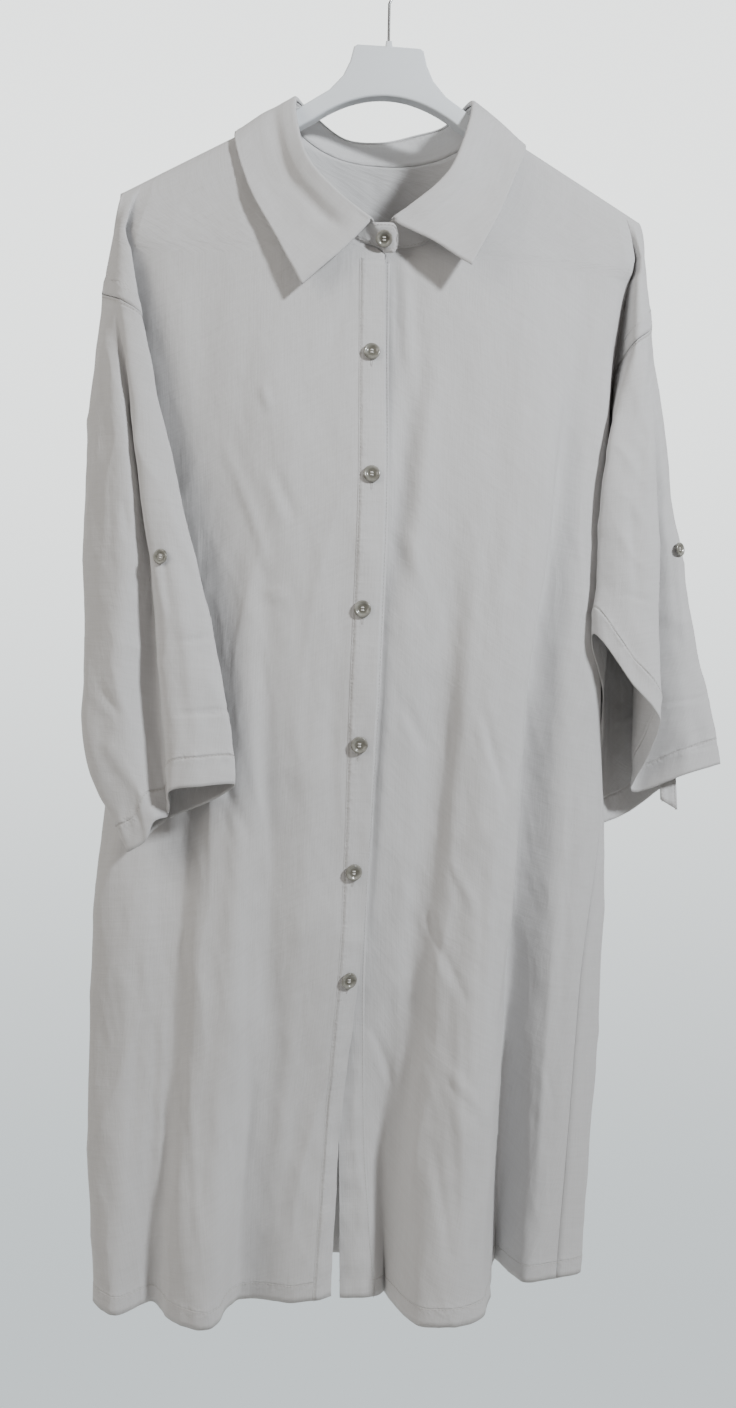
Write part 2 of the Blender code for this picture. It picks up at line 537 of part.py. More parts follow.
def back_row(z):
    """Points across one row of the back. Its arm columns are left empty below the armhole seams."""
    inner = BACK.side_count
    outer = BACK.last - inner
    start, end = (BACK.valley, BACK.last - BACK.valley) if z >= SEAM_VALLEY_Z else BACK.ends(z)
    places = spread(start, inner, BACK_SIDE_COLUMNS + 1)[:-1]
    places += spread(inner, outer, BACK_MIDDLE_COLUMNS)
    places += spread(outer, end, BACK_SIDE_COLUMNS + 1)[1:]
    row = [BACK.point(s, z) for s in places]
    if z < SEAM_VALLEY_Z:
        empty = [None] * BACK_SIDE_COLUMNS
        return empty + inset_ends(row, SEAM_INSET) + empty
    left = []
    right = []
    for share in spread(0.0, 1.0, BACK_SIDE_COLUMNS + 1)[:-1]:
        seam_z = over_seam(z, share)
        left.append(BACK.point(BACK.valley * share, seam_z))
        right.insert(0, BACK.point(BACK.last - BACK.valley * share, seam_z))
    return inset_ends(left + row + right, SEAM_INSET)


def back_grid():
    """Rows of the back, with the ones between the neck seam and the first full row on top."""
    full = [back_row(z) for z in BACK_ROWS]
    reach = full[0][0].x
    upper = []
    for share in NECK_SHARES:
        row = []
        for low in full[0]:
            x = low.x * NECK_HALF / reach
            neck = Vector((x, 0.0, back_neck_z(x)))
            p = mix(neck, low, share)
            p.y = upper_back_y(p.x, p.z)
            row.append(p)
        upper.append(row)
    return upper + full


def normals(grid, closed):
    """Unit normal at each point of a grid, from its neighbours."""
    rows = len(grid)
    cols = len(grid[0])
    found = []
    for i in range(rows):
        line = []
        for j in range(cols):
            up = grid[max(i - 1, 0)][j]
            down = grid[min(i + 1, rows - 1)][j]
            before = grid[i][(j - 1) % cols] if closed else grid[i][max(j - 1, 0)]
            after = grid[i][(j + 1) % cols] if closed else grid[i][min(j + 1, cols - 1)]
            line.append((after - before).cross(down - up).normalized())
        found.append(line)
    return found


def wall(name, grid, thickness, finish, collection, closed=False):
    """Closed wall solid round a grid of points: an open sheet with Solidify. Empty places stay open."""
    mesh = bpy.data.meshes.new(name)
    cols = len(grid[0])
    index = {}
    points = []
    for i, row in enumerate(grid):
        for j, p in enumerate(row):
            if p is not None:
                index[i, j] = len(points)
                points.append(p * CM)
    faces = []
    for i in range(len(grid) - 1):
        for j in range(cols if closed else cols - 1):
            k = (j + 1) % cols
            corners = [index.get(key) for key in ((i, j), (i, k), (i + 1, k), (i + 1, j))]
            if None not in corners:
                faces.append(corners)
    mesh.from_pydata(points, [], faces)
    mesh.shade_smooth()
    mesh.materials.append(finish)
    piece = bpy.data.objects.new(name, mesh)
    collection.objects.link(piece)
    shell = piece.modifiers.new("wall", "SOLIDIFY")
    shell.thickness = thickness * CM
    shell.offset = 0.0
    shell.use_rim = True
    shell.use_quality_normals = True


def moved_out(grid, distance):
    """Copy of an open grid, moved out along its normals."""
    out = []
    for row, line in zip(grid, normals(grid, False)):
        out.append([p + n * distance for p, n in zip(row, line)])
    return out


def front_band(front):
    """Strip of cloth laid on the outside of a front along its free edge."""
    rows = [NECK_FRONT_Z - 0.3] + [z for z in FRONT_ROWS if z < NECK_FRONT_Z]
    strip = [[front.point(s, z) for s in spread(0.03, 1.0, 4)] for z in rows]
    return moved_out(strip, -((WALL + BAND) / 2 + GAP) * front.side)


class Sleeve:
    """Sleeve tube, from its armhole seam down to the cuff rim."""

    def __init__(self, front, folds):
        self.front = front
        self.folds = folds
        self.crest = [fold.name for fold in folds].index("crest")

    def ring_point(self, place, share):
        """Point at a place round the tube (a count of folds) and a share of the way to the rim."""
        ring = []
        for fold in self.folds:
            z = mix(fold.top, fold.rim, share)
            ring.append(Vector((at_height(SLEEVE_LEVELS, fold.x, z), at_height(SLEEVE_LEVELS, fold.y, z), z)))
        return across(ring[-2:] + ring + ring[:3], place + 2)

    def seam_point(self, place):
        """Point of the armhole seam, a little outside the panel's own edge."""
        k = int(place)
        after = self.folds[(k + 1) % len(self.folds)]
        z = mix(self.folds[k].top, after.top, place - k)
        if place <= self.crest:
            p = self.front.point(self.front.edge(z), z)
        else:
            start, end = BACK.ends(z)
            p = BACK.point(start if self.front.side > 0 else end, z)
        away = SLEEVE_OFFSET * smooth_step(35.5, 37.5, -z)
        return p + Vector((away * self.front.side, 0.0, -4 * GAP))

    def point(self, place, share):
        p = self.ring_point(place, share)
        top = self.ring_point(place, 0.0)
        hold = math.exp(-(((top.z - p.z) / 5.0) ** 2))
        return p + (self.seam_point(place) - top) * hold

    def grid(self):
        rows = [(i / (SLEEVE_ROWS - 1)) ** 1.15 for i in range(SLEEVE_ROWS)]
        count = len(self.folds) * SLEEVE_COLUMNS_PER_FOLD
        places = [i / SLEEVE_COLUMNS_PER_FOLD for i in range(count)]
        return [[self.point(place, share) for place in places] for share in rows]


LEFT_SLEEVE = Sleeve(LEFT, LEFT_SLEEVE_FOLDS)
RIGHT_SLEEVE = Sleeve(RIGHT, RIGHT_SLEEVE_FOLDS)


def neck_loop(turn):
    """Point of the neck seam: 0 and 1 at the front ends, a half at the nape."""
    if NECK_SHOULDER_TURN < turn < 1.0 - NECK_SHOULDER_TURN:
        x = NECK_HALF * math.sin((turn - 0.5) / (0.5 - NECK_SHOULDER_TURN) * math.pi / 2)
        z = back_neck_z(x)
        return Vector((x, upper_back_y(x, z), z))
    front = RIGHT if turn < 0.5 else LEFT
    share = 1.0 - min(turn, 1.0 - turn) / NECK_SHOULDER_TURN
    return front.point(0.0, mix(NECK_SIDE_Z, NECK_FRONT_Z, share * (1.5 - 0.5 * share)))


def collar_at(turn):
    """Roll, crease and outer edge of the collar at one place round the neck."""
    knots = [station.turn for station in COLLAR_STATIONS]
    found = []
    for field in ("roll", "crease", "edge"):
        values = [Vector(getattr(station, field)) for station in COLLAR_STATIONS]
        found.append(curve_at(knots, values, turn))
    return found


def stand_edges(turn):
    """Lower and upper edge of the stand at one place round the neck."""
    low = neck_loop(turn)
    roll = collar_at(turn)[0]
    rise = (roll - low).normalized()
    return low + rise * (WALL / 2 + 3 * GAP), roll - rise * ROLL_HEIGHT


def stand_grid():
    """Band between the neck seam and the roll. Its right end laps over the left one and is rounded."""
    columns = [(Vector(column.low), Vector(column.high)) for column in STAND_TAB]
    columns += [stand_edges(turn) for turn in spread(0.0, 0.98, COLLAR_COLUMNS - 2)]
    columns += [(Vector(column.low), Vector(column.high)) for column in STAND_UNDER]
    return [[mix(low, high, f) for low, high in columns] for f in spread(0.0, 1.0, 4)]


def fall_grid():
    """Turned-down part of the collar: up off the stand, over the roll and out to its edge."""
    columns = []
    for turn in spread(0.0, 1.0, COLLAR_COLUMNS):
        roll, crease, edge = collar_at(turn)
        rise = (roll - stand_edges(turn)[0]).normalized()
        away = crease - roll
        away = (away - rise * away.dot(rise)).normalized()
        start = roll - rise * (ROLL_HEIGHT - 3 * GAP)
        inner = roll - rise * 0.4 * ROLL_BEND + away * 0.15 * ROLL_BEND
        crown = roll + away * ROLL_BEND
        outer = roll - rise * ROLL_BEND + away * 2.0 * ROLL_BEND
        points = (start, inner, crown, outer, crease, edge)
        columns.append([curve_at(FALL_KNOTS, points, f) for f in FALL_PLACES])
    return [list(row) for row in zip(*columns)]


def facing_of(at, sideways, down):
    """Outward direction of cloth at a point, from points beside and below it."""
    return (down - at).cross(sideways - at).normalized()


def sleeve_facing(sleeve, place, share):
    """Outward direction of a sleeve's cloth at a place round it and a share of the way down."""
    at = sleeve.point(place, share)
    beside = sleeve.point(place + 0.2, share)
    return facing_of(at, beside, sleeve.point(place, share + 0.02)) * sleeve.front.side


def strap_grid():
    """Strap sewn to the inside of its sleeve, behind the button, and hanging down out of the cuff."""
    rows = []
    for share in STRAP_SEWN_SHARES:
        row = []
        for place in spread(*STRAP_SEWN_PLACES, 3):
            out = sleeve_facing(LEFT_SLEEVE, place, share)
            row.append(LEFT_SLEEVE.point(place, share) - out * ((WALL + BAND) / 2 + 2 * GAP))
        rows.append(row)
    for row in STRAP_ROWS:
        left = Vector((row.left, row.depth, row.left_z))
        right = Vector((row.right, row.depth, row.right_z))
        rows.append([mix(left, right, f) for f in spread(0.0, 1.0, 3)])
    return rows


def add_button(name, at, facing, radius, finish, collection):
    """Button turned from its half section, with its back on a point and its face looking outward."""
    mesh = bpy.data.meshes.new(name)
    section = [(share * radius * CM, 0.0, height * radius * CM) for share, height in BUTTON_SECTION]
    mesh.from_pydata(section, [(i, i + 1) for i in range(len(section) - 1)], [])
    mesh.materials.append(finish)
    piece = bpy.data.objects.new(name, mesh)
    piece.location = at * CM
    piece.rotation_mode = "QUATERNION"
    piece.rotation_quaternion = facing.to_track_quat("Z", "Y")
    collection.objects.link(piece)
    turning = piece.modifiers.new("turning", "SCREW")
    turning.steps = BUTTON_STEPS
    turning.render_steps = BUTTON_STEPS
    turning.use_merge_vertices = True
    turning.merge_threshold = 0.00001
    turning.use_smooth_shade = True


def add_front_buttons(finish, collection):
    for i, z in enumerate(BUTTON_HEIGHTS):
        at = RIGHT.point(0.5, z)
        out = facing_of(at, RIGHT.point(0.3, z), RIGHT.point(0.5, z - 1.0))
        add_button(f"button_front_{i + 1}", at + out * BUTTON_LIFT, out, BUTTON_RADIUS, finish, collection)
    low, high = stand_edges(0.0)
    corner = STAND_TAB[-1]
    inner = mix(low, high, COLLAR_BUTTON_RISE)
    outer = mix(Vector(corner.low), Vector(corner.high), COLLAR_BUTTON_RISE)
    at = mix(inner, outer, COLLAR_BUTTON_ACROSS)
    out = (high - low).cross(inner - outer).normalized()
    add_button("button_collar", at + out * COLLAR_BUTTON_LIFT, out, BUTTON_RADIUS, finish, collection)


def add_sleeve_button(name, sleeve, place, share, finish, collection):
    at = sleeve.point(place, share)
    out = sleeve_facing(sleeve, place, share)
    add_button(name, at + out * SLEEVE_BUTTON_LIFT, out, SLEEVE_BUTTON_RADIUS, finish, collection)


def make_shirt(collection, linen, grey):
    wall("front_left", front_grid(LEFT), WALL, linen, collection)
    wall("front_right", front_grid(RIGHT), WALL, linen, collection)
    wall("back", back_grid(), WALL, linen, collection)
    wall("placket_under", front_band(LEFT), BAND, linen, collection)
    wall("placket_top", front_band(RIGHT), BAND, linen, collection)
    wall("sleeve_left", LEFT_SLEEVE.grid(), WALL, linen, collection, closed=True)
    wall("sleeve_right", RIGHT_SLEEVE.grid(), WALL, linen, collection, closed=True)
    wall("sleeve_strap", strap_grid(), BAND, linen, collection)
    wall("collar_stand", stand_grid(), WALL, linen, collection)
    wall("collar_fall", fall_grid(), WALL, linen, collection)
    add_front_buttons(grey, collection)
    add_sleeve_button("button_sleeve_left", LEFT_SLEEVE, 6.55, 0.508, grey, collection)
    add_sleeve_button("button_sleeve_right", RIGHT_SLEEVE, 3.45, 0.54, grey, collection)


def make_hanger(collection, plastic):
    half = [(point.x, point.z) for point in HANGER_OUTLINE]
    half += [(x, ARCH_Z - ARCH_BEND * x * x) for x in spread(ARCH_HALF, 0.0, 8)]
    full = half + [(-x, z) for x, z in reversed(half[:-1])]
    curve = bpy.data.curves.new("hanger_body", "CURVE")
    curve.dimensions = "2D"
    curve.fill_mode = "BOTH"
    curve.extrude = (HANGER_HALF_DEPTH - HANGER_ROUND) * CM
    curve.bevel_depth = HANGER_ROUND * CM
    curve.bevel_resolution = 1
    curve.offset = -HANGER_ROUND * CM
    spline = curve.splines.new("POLY")
    spline.points.add(len(full) - 1)
    for point, (x, z) in zip(spline.points, full):
        point.co = (x * CM, z * CM, 0.0, 1.0)
    spline.use_cyclic_u = True
    curve.materials.append(plastic)
    body = bpy.data.objects.new("hanger_body", curve)
    body.rotation_euler = (math.pi / 2, 0.0, 0.0)
    collection.objects.link(body)


def make_hook(collection, steel):
    """Wire from the boss straight up, then round over the rod, open towards the viewer's left."""
    radius = HOOK_RADIUS + WIRE_RADIUS
    middle_z = WIRE_RADIUS - radius
    path = [(0.0, HANGER_OUTLINE[0].z + GAP), (0.0, HOOK_NECK_Z)]
    path += [(0.3, HOOK_NECK_Z + 0.7)]
    for angle in spread(-60.0, HOOK_TURN - 90.0, 22):
        a = math.radians(angle)
        path.append((radius * math.cos(a), middle_z + radius * math.sin(a)))
    curve = bpy.data.curves.new("hanger_hook", "CURVE")
    curve.dimensions = "3D"
    curve.bevel_depth = WIRE_RADIUS * CM
    curve.bevel_resolution = 2
    curve.use_fill_caps = True
    spline = curve.splines.new("POLY")
    spline.points.add(len(path) - 1)
    for point, (x, z) in zip(spline.points, path):
        point.co = (x * CM, 0.0, z * CM, 1.0)
    curve.materials.append(steel)
    hook = bpy.data.objects.new("hanger_hook", curve)
    collection.objects.link(hook)


def main():
    clear_scene()
    collection = new_collection("long_shirt")
    linen = material("linen", LINEN, 0.9)
    grey = material("button", BUTTON_GREY, 0.3)
    plastic = material("plastic", PLASTIC_WHITE, 0.35)
    steel = material("steel", STEEL, 0.25, 1.0)
    make_shirt(collection, linen, grey)
    make_hanger(collection, plastic)
    make_hook(collection, steel)


main()
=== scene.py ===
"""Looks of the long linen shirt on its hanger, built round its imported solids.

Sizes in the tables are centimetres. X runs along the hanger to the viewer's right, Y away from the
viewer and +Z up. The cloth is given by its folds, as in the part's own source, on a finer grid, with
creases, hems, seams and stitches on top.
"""

import logging
import math
from collections.abc import Sequence
from dataclasses import dataclass, field
from enum import Enum
from typing import NamedTuple, TypeVar

import bmesh
import bpy
import numpy as np
from mathutils import Matrix, Vector, noise

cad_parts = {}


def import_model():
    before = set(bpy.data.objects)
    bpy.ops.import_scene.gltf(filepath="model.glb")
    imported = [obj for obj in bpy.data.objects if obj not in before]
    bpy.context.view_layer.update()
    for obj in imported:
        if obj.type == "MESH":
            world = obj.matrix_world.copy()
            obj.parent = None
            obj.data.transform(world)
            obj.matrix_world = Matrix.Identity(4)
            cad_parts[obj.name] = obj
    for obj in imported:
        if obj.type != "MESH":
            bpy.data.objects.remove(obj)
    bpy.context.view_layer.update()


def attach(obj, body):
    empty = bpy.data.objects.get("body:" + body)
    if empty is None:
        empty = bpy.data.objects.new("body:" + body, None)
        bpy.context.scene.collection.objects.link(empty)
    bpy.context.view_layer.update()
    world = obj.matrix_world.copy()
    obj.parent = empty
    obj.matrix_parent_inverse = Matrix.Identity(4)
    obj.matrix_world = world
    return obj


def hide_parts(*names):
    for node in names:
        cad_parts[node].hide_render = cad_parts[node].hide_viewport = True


log = logging.getLogger("long_shirt")

Rgba = tuple[float, float, float, float]
Triple = tuple[float, float, float]
Value = TypeVar("Value", float, Vector)

# Cloth and its seams
CM = 0.01
SHELL = 0.07
GAP = 0.03
SEAM_INSET = 0.02
STITCH_LIFT = SHELL / 2 + 0.01
BUTTON_SEAT = SHELL / 2 + 0.03
WEAVE_SCALE = 0.1
SETTLE_REACH = 1.0
NO_SEAM = 9.0

# Shoulder line over the hanger's arms, and where the cloth leaves it
SHOULDER_REACH = 22.5
TIP_Z = -23.7
SHOULDER_SLOPE = 0.577
ARM_ROUND = 0.9
ARM_FALL = 0.8
CHEST_LEAN = 0.22
BACK_LEAN = 0.16
TIP_EASE = (20.0, 22.2)
FRONT_EASE = 8.0
BACK_EASE = 10.0
OUTER_FOLDS = (4.0, 1.5)

# Neck
NECK_HALF = 8.8
NECK_SIDE_Z = -15.8
NECK_FRONT_Z = -29.4
NECK_BACK_Z = -17.9
NECK_CURVE = 0.6
NECK_EASE = 1.0
NAPE_DEPTH = 3.2
NAPE_REACH = NECK_HALF + 1.0
NECK_SHOULDER_TURN = 0.31
STAND_GAP = 0.09
ROLL_HEIGHT = 0.35
ROLL_BEND = 0.2

# Armhole, sides and hem
SEAM_CREST_Z = -32.4
SEAM_VALLEY_Z = -36.5
UNDERARM_Z = -50.0
ARM_TOP_Z = -27.2
BACK_FOLDS_Z = -36.0
WRAP_Z = -92.0
HEM_Z = -119.6
HEM_RISE_Z = -103.0
LEVELS = (-24.0, -36.0, UNDERARM_Z, -66.0, -85.0, HEM_RISE_Z, HEM_Z)

# Shape of a listed crease: its sideways bend, its tapered ends and the low swelling beside it
CREASE_GAIN = 1.5
CREASE_BEND = 0.12
CREASE_WAVES = 5.0
CREASE_TAPER = 0.8
CREASE_SWELLING = 0.35
CREASE_SWELLING_AT = 1.7


class Fold(NamedTuple):
    """One ridge or valley line of a body panel: its hem height and its x and y at each level."""

    name: str
    hem: float
    x: tuple[float, ...]
    y: tuple[float, ...]


class SleeveFold(NamedTuple):
    """One line down a sleeve: its ends on the armhole and the rim, and its x and y at each level."""

    name: str
    top: float
    rim: float
    x: tuple[float, ...]
    y: tuple[float, ...]


class BackFold(NamedTuple):
    """A soft fold of the back: its share of the width and its depth at the chest and the hem."""

    name: str
    across: float
    chest: float
    hem: float


class CollarStation(NamedTuple):
    """A section of the collar: roll, crease and outer edge at one place round the neck."""

    name: str
    turn: float
    roll: Triple
    crease: Triple
    edge: Triple


class StandColumn(NamedTuple):
    """Lower and upper point of the stand near one of its ends."""

    name: str
    low: Triple
    high: Triple


class StrapRow(NamedTuple):
    """One cross section of the roll-up strap."""

    name: str
    left: float
    right: float
    depth: float
    left_z: float
    right_z: float


class HangerPoint(NamedTuple):
    """A point of the hanger's half outline."""

    name: str
    x: float
    z: float


class Crease(NamedTuple):
    """A soft trough (depth below 0) or ridge between two places of a panel, seen from the front."""

    name: str
    x1: float
    z1: float
    x2: float
    z2: float
    width: float
    depth: float


LEFT_FRONT_FOLDS = (
    Fold("under_edge", -118.7, (-2.6, -2.6, -2.6, -3.0, -3.6, -2.75, -2.2),
         (-3.4, -4.0, -6.2, -6.6, -4.4, -1.4, 0.4)),
    Fold("under_band", -118.7, (0.1, 0.1, 0.1, -0.3, -0.9, -0.4, 0.8),
         (-3.5, -4.2, -6.3, -6.8, -4.4, -1.2, 0.6)),
    Fold("centre_valley", -118.9, (6.0, 6.2, 5.2, 3.9, 2.7, 1.6, 1.9),
         (-3.5, -4.9, -6.4, -6.3, -3.9, -0.8, 1.6)),
    Fold("ridge_near", -118.9, (9.6, 9.6, 8.5, 6.8, 5.4, 4.1, 3.9),
         (-2.9, -4.9, -6.6, -6.9, -5.2, -3.8, -4.0)),
    Fold("centre_ridge", -118.6, (12.6, 12.3, 11.0, 9.2, 8.2, 7.1, 6.8),
         (-2.4, -4.7, -6.7, -7.2, -6.5, -5.6, -4.9)),
    Fold("ridge_flank", -118.5, (15.6, 14.9, 13.6, 11.8, 10.7, 9.9, 9.7),
         (-1.9, -4.2, -5.8, -6.1, -5.3, -4.3, -3.2)),
    Fold("side_valley", -118.6, (17.6, 16.5, 14.5, 12.6, 11.9, 12.3, 12.6),
         (-1.6, -3.3, -3.8, -2.8, -0.6, 2.8, 6.2)),
    Fold("side_lobe", -118.6, (19.6, 18.1, 17.0, 16.0, 15.2, 14.7, 14.5),
         (-1.3, -2.9, -3.7, -3.5, -2.3, 0.2, 2.0)),
    Fold("side_ridge", -118.6, (20.8, 19.6, 19.3, 18.9, 18.5, 18.0, 17.5),
         (-1.0, -2.2, -2.7, -2.5, -1.4, 0.4, 2.2)),
    Fold("side_turn", -118.7, (21.9, 20.3, 20.1, 19.9, 20.8, 20.6, 20.0),
         (-0.9, -0.9, -0.6, -0.4, 0.8, 2.2, 3.4)),
    Fold("side_seam", -118.9, (22.3, 21.1, 20.3, 20.1, 20.4, 20.1, 19.5),
         (-0.75, 0.8, 1.5, 1.7, 3.0, 4.2, 5.4)),
)
LEFT_ARM_FRONT = (
    Fold("arm_ridge", HEM_Z, (22.5, 21.6, 20.6), (-0.6, -3.0, -3.8)),
    Fold("arm_front", HEM_Z, (22.65, 23.3, 23.4), (-0.35, -2.2, -3.0)),
    Fold("arm_crest", HEM_Z, (22.75, 24.5, 26.4), (0.0, 0.0, 0.0)),
)
LEFT_ARM_BACK = (
    Fold("arm_crest", HEM_Z, (22.75, 24.5, 26.4), (0.0, 0.0, 0.0)),
    Fold("arm_back", HEM_Z, (22.65, 23.4, 24.4), (0.4, 1.9, 2.6)),
    Fold("back_valley", HEM_Z, (22.3, 21.2, 19.7), (0.75, 2.5, 1.5)),
)
RIGHT_FRONT_FOLDS = (
    Fold("front_edge", -118.1, (-0.4, -0.4, -0.35, -0.75, -1.2, -2.6, -3.1),
         (-4.4, -4.9, -6.8, -7.3, -5.0, -1.9, -0.5)),
    Fold("band_line", -118.2, (-2.6, -2.5, -2.5, -2.9, -3.1, -4.0, -4.7),
         (-4.3, -4.9, -6.8, -7.3, -5.5, -2.6, -1.1)),
    Fold("centre_lobe", -118.5, (-5.2, -5.0, -5.2, -5.6, -5.9, -6.6, -7.3),
         (-3.9, -4.8, -6.6, -7.0, -5.4, -2.6, -0.6)),
    Fold("middle_valley", -118.9, (-9.2, -8.8, -9.2, -9.4, -9.5, -10.2, -11.0),
         (-3.1, -4.5, -6.0, -6.2, -4.7, -2.0, 0.9)),
    Fold("middle_lobe", -119.4, (-13.0, -12.2, -12.0, -12.0, -12.3, -12.8, -13.4),
         (-2.4, -4.0, -5.0, -5.6, -5.2, -4.0, -2.6)),
    Fold("lobe_flank", -119.4, (-16.2, -15.2, -14.8, -14.2, -14.4, -15.3, -16.2),
         (-1.9, -3.3, -3.8, -4.2, -4.5, -3.2, -1.7)),
    Fold("side_valley", -119.0, (-18.6, -17.6, -17.0, -16.4, -16.4, -17.3, -18.6),
         (-1.5, -2.8, -2.7, -2.6, -3.0, -1.2, 1.0)),
    Fold("side_lobe", -119.2, (-20.6, -19.6, -19.4, -19.4, -20.6, -21.0, -21.3),
         (-1.2, -1.8, -1.5, -1.3, -2.2, -1.6, -0.5)),
    Fold("side_turn", -119.0, (-21.9, -21.2, -21.3, -22.1, -23.8, -24.0, -23.5),
         (-0.9, -0.3, 0.0, 0.2, 0.0, 0.6, 1.2)),
    Fold("side_seam", -119.2, (-22.3, -22.2, -21.6, -22.2, -23.4, -23.6, -23.1),
         (-0.75, 0.8, 1.3, 1.8, 2.4, 3.0, 3.6)),
)
RIGHT_ARM_FRONT = (
    Fold("arm_edge", HEM_Z, (-22.5, -20.2, -17.2), (-0.6, -3.5, -5.0)),
    Fold("arm_front", HEM_Z, (-22.65, -22.0, -20.0), (-0.4, -3.6, -5.6)),
    Fold("arm_crest", HEM_Z, (-22.75, -24.5, -24.9), (0.0, -0.4, -0.8)),
)
RIGHT_ARM_BACK = (
    Fold("arm_crest", HEM_Z, (-22.75, -24.5, -24.9), (0.0, -0.4, -0.8)),
    Fold("arm_back", HEM_Z, (-22.65, -23.8, -24.0), (0.4, 1.3, 1.4)),
    Fold("back_valley", HEM_Z, (-22.3, -22.5, -21.6), (0.75, 1.9, 1.3)),
)
BACK_DEPTH = (3.0, 4.8, 5.6, 6.0, 6.8, 7.9, 9.0)
BACK_FOLDS = (
    BackFold("right_side", 0.08, 0.0, 0.8),
    BackFold("right_valley", 0.18, -0.1, 0.4),
    BackFold("right_ridge", 0.29, 0.2, 1.0),
    BackFold("inner_right_valley", 0.40, -0.1, -1.0),
    BackFold("centre_ridge", 0.52, 0.2, 0.9),
    BackFold("inner_left_valley", 0.63, -0.2, -1.3),
    BackFold("left_ridge", 0.74, 0.2, 0.8),
    BackFold("left_valley", 0.84, -0.1, -1.0),
    BackFold("left_side", 0.93, 0.0, 0.3),
)
SLEEVE_LEVELS = (-34.0, -44.0, -55.0, -65.0, -72.0, -79.0)
LEFT_SLEEVE_FOLDS = (
    SleeveFold("underarm", -50.0, -74.5, (21.5, 21.2, 20.9, 20.5, 20.4, 20.5),
               (1.4, 1.6, 1.5, 1.4, 1.4, 1.4)),
    SleeveFold("inner_front", -38.5, -66.0, (21.4, 20.7, 19.9, 19.5, 19.4, 19.5),
               (0.4, -1.4, -2.3, -2.5, -2.4, -2.2)),
    SleeveFold("lobe_inner", -35.6, -60.6, (21.7, 19.3, 18.2, 17.95, 17.95, 17.95),
               (-1.6, -3.7, -4.2, -4.4, -4.4, -4.4)),
    SleeveFold("lobe_front", -34.9, -64.6, (22.4, 21.2, 20.9, 20.9, 21.0, 21.0),
               (-2.6, -4.1, -5.0, -5.5, -5.6, -5.6)),
    SleeveFold("lobe_outer", -34.2, -68.0, (23.3, 23.3, 23.5, 23.6, 23.6, 23.6),
               (-2.2, -3.4, -4.1, -4.7, -4.8, -4.8)),
    SleeveFold("lobe_valley", -33.8, -74.3, (23.6, 23.7, 23.5, 23.4, 23.4, 23.4),
               (-1.6, -1.3, 0.0, 0.8, 1.2, 1.3)),
    SleeveFold("outer_front", -33.2, -72.6, (23.9, 24.7, 25.8, 27.0, 27.6, 27.7),
               (-0.9, -1.0, -1.0, -0.9, -0.9, -0.9)),
    SleeveFold("crest", SEAM_CREST_Z, -71.7, (24.2, 25.5, 27.5, 29.7, 31.1, 31.3),
               (0.0, 0.1, 0.2, 0.3, 0.4, 0.4)),
    SleeveFold("outer_back", -34.2, -73.0, (23.6, 24.4, 25.8, 27.6, 28.5, 28.6),
               (1.4, 2.0, 2.6, 3.0, 3.2, 3.2)),
    SleeveFold("middle_back", -35.6, -76.4, (22.4, 22.9, 23.3, 23.6, 24.0, 24.2),
               (2.3, 3.0, 3.7, 4.0, 4.0, 4.0)),
    SleeveFold("inner_back", -40.0, -77.3, (21.5, 21.5, 21.3, 20.9, 20.9, 21.0),
               (2.3, 2.9, 3.4, 3.4, 3.2, 3.0)),
)
RIGHT_SLEEVE_FOLDS = (
    SleeveFold("underarm", -50.0, -76.6, (-22.2, -22.2, -22.0, -20.2, -18.5, -16.7),
               (1.0, 0.4, -0.8, -2.6, -3.5, -4.3)),
    SleeveFold("inner_layer", -38.5, -74.9, (-21.7, -20.7, -18.0, -15.3, -14.0, -13.4),
               (-0.9, -2.6, -4.0, -5.2, -6.0, -6.5)),
    SleeveFold("flap_edge", -35.0, -73.5, (-20.8, -18.5, -15.6, -13.2, -12.0, -11.8),
               (-3.3, -4.5, -6.2, -7.2, -7.7, -7.8)),
    SleeveFold("flap_front", -34.3, -73.6, (-21.6, -19.8, -17.3, -15.7, -14.6, -14.3),
               (-3.7, -5.1, -6.9, -8.0, -8.5, -8.6)),
    SleeveFold("flap_fold", -33.9, -74.1, (-22.4, -20.7, -19.0, -17.7, -17.0, -16.6),
               (-3.5, -4.9, -6.2, -7.2, -7.7, -7.8)),
    SleeveFold("lobe_valley", -33.6, -76.2, (-22.8, -20.9, -19.3, -18.6, -17.8, -16.8),
               (-3.1, -3.5, -4.2, -4.6, -5.2, -6.0)),
    SleeveFold("lobe_inner", -33.3, -76.6, (-23.1, -21.5, -20.7, -20.8, -19.8, -17.4),
               (-2.9, -4.5, -5.5, -6.0, -6.3, -6.4)),
    SleeveFold("lobe_front", -32.9, -78.2, (-23.7, -22.9, -22.4, -22.2, -21.2, -18.6),
               (-2.0, -3.6, -4.9, -5.7, -6.0, -6.1)),
    SleeveFold("crest", SEAM_CREST_Z, -79.2, (-24.3, -24.9, -24.8, -24.5, -23.9, -20.4),
               (-0.4, -1.1, -2.2, -3.2, -4.2, -5.3)),
    SleeveFold("outer_back", -34.2, -78.9, (-23.8, -24.1, -23.8, -23.3, -22.4, -19.7),
               (0.8, 0.8, 0.5, -0.8, -2.2, -4.0)),
    SleeveFold("inner_back", -38.0, -77.7, (-22.6, -22.7, -22.5, -21.9, -20.6, -18.2),
               (1.4, 1.4, 0.5, -1.2, -2.5, -3.9)),
)
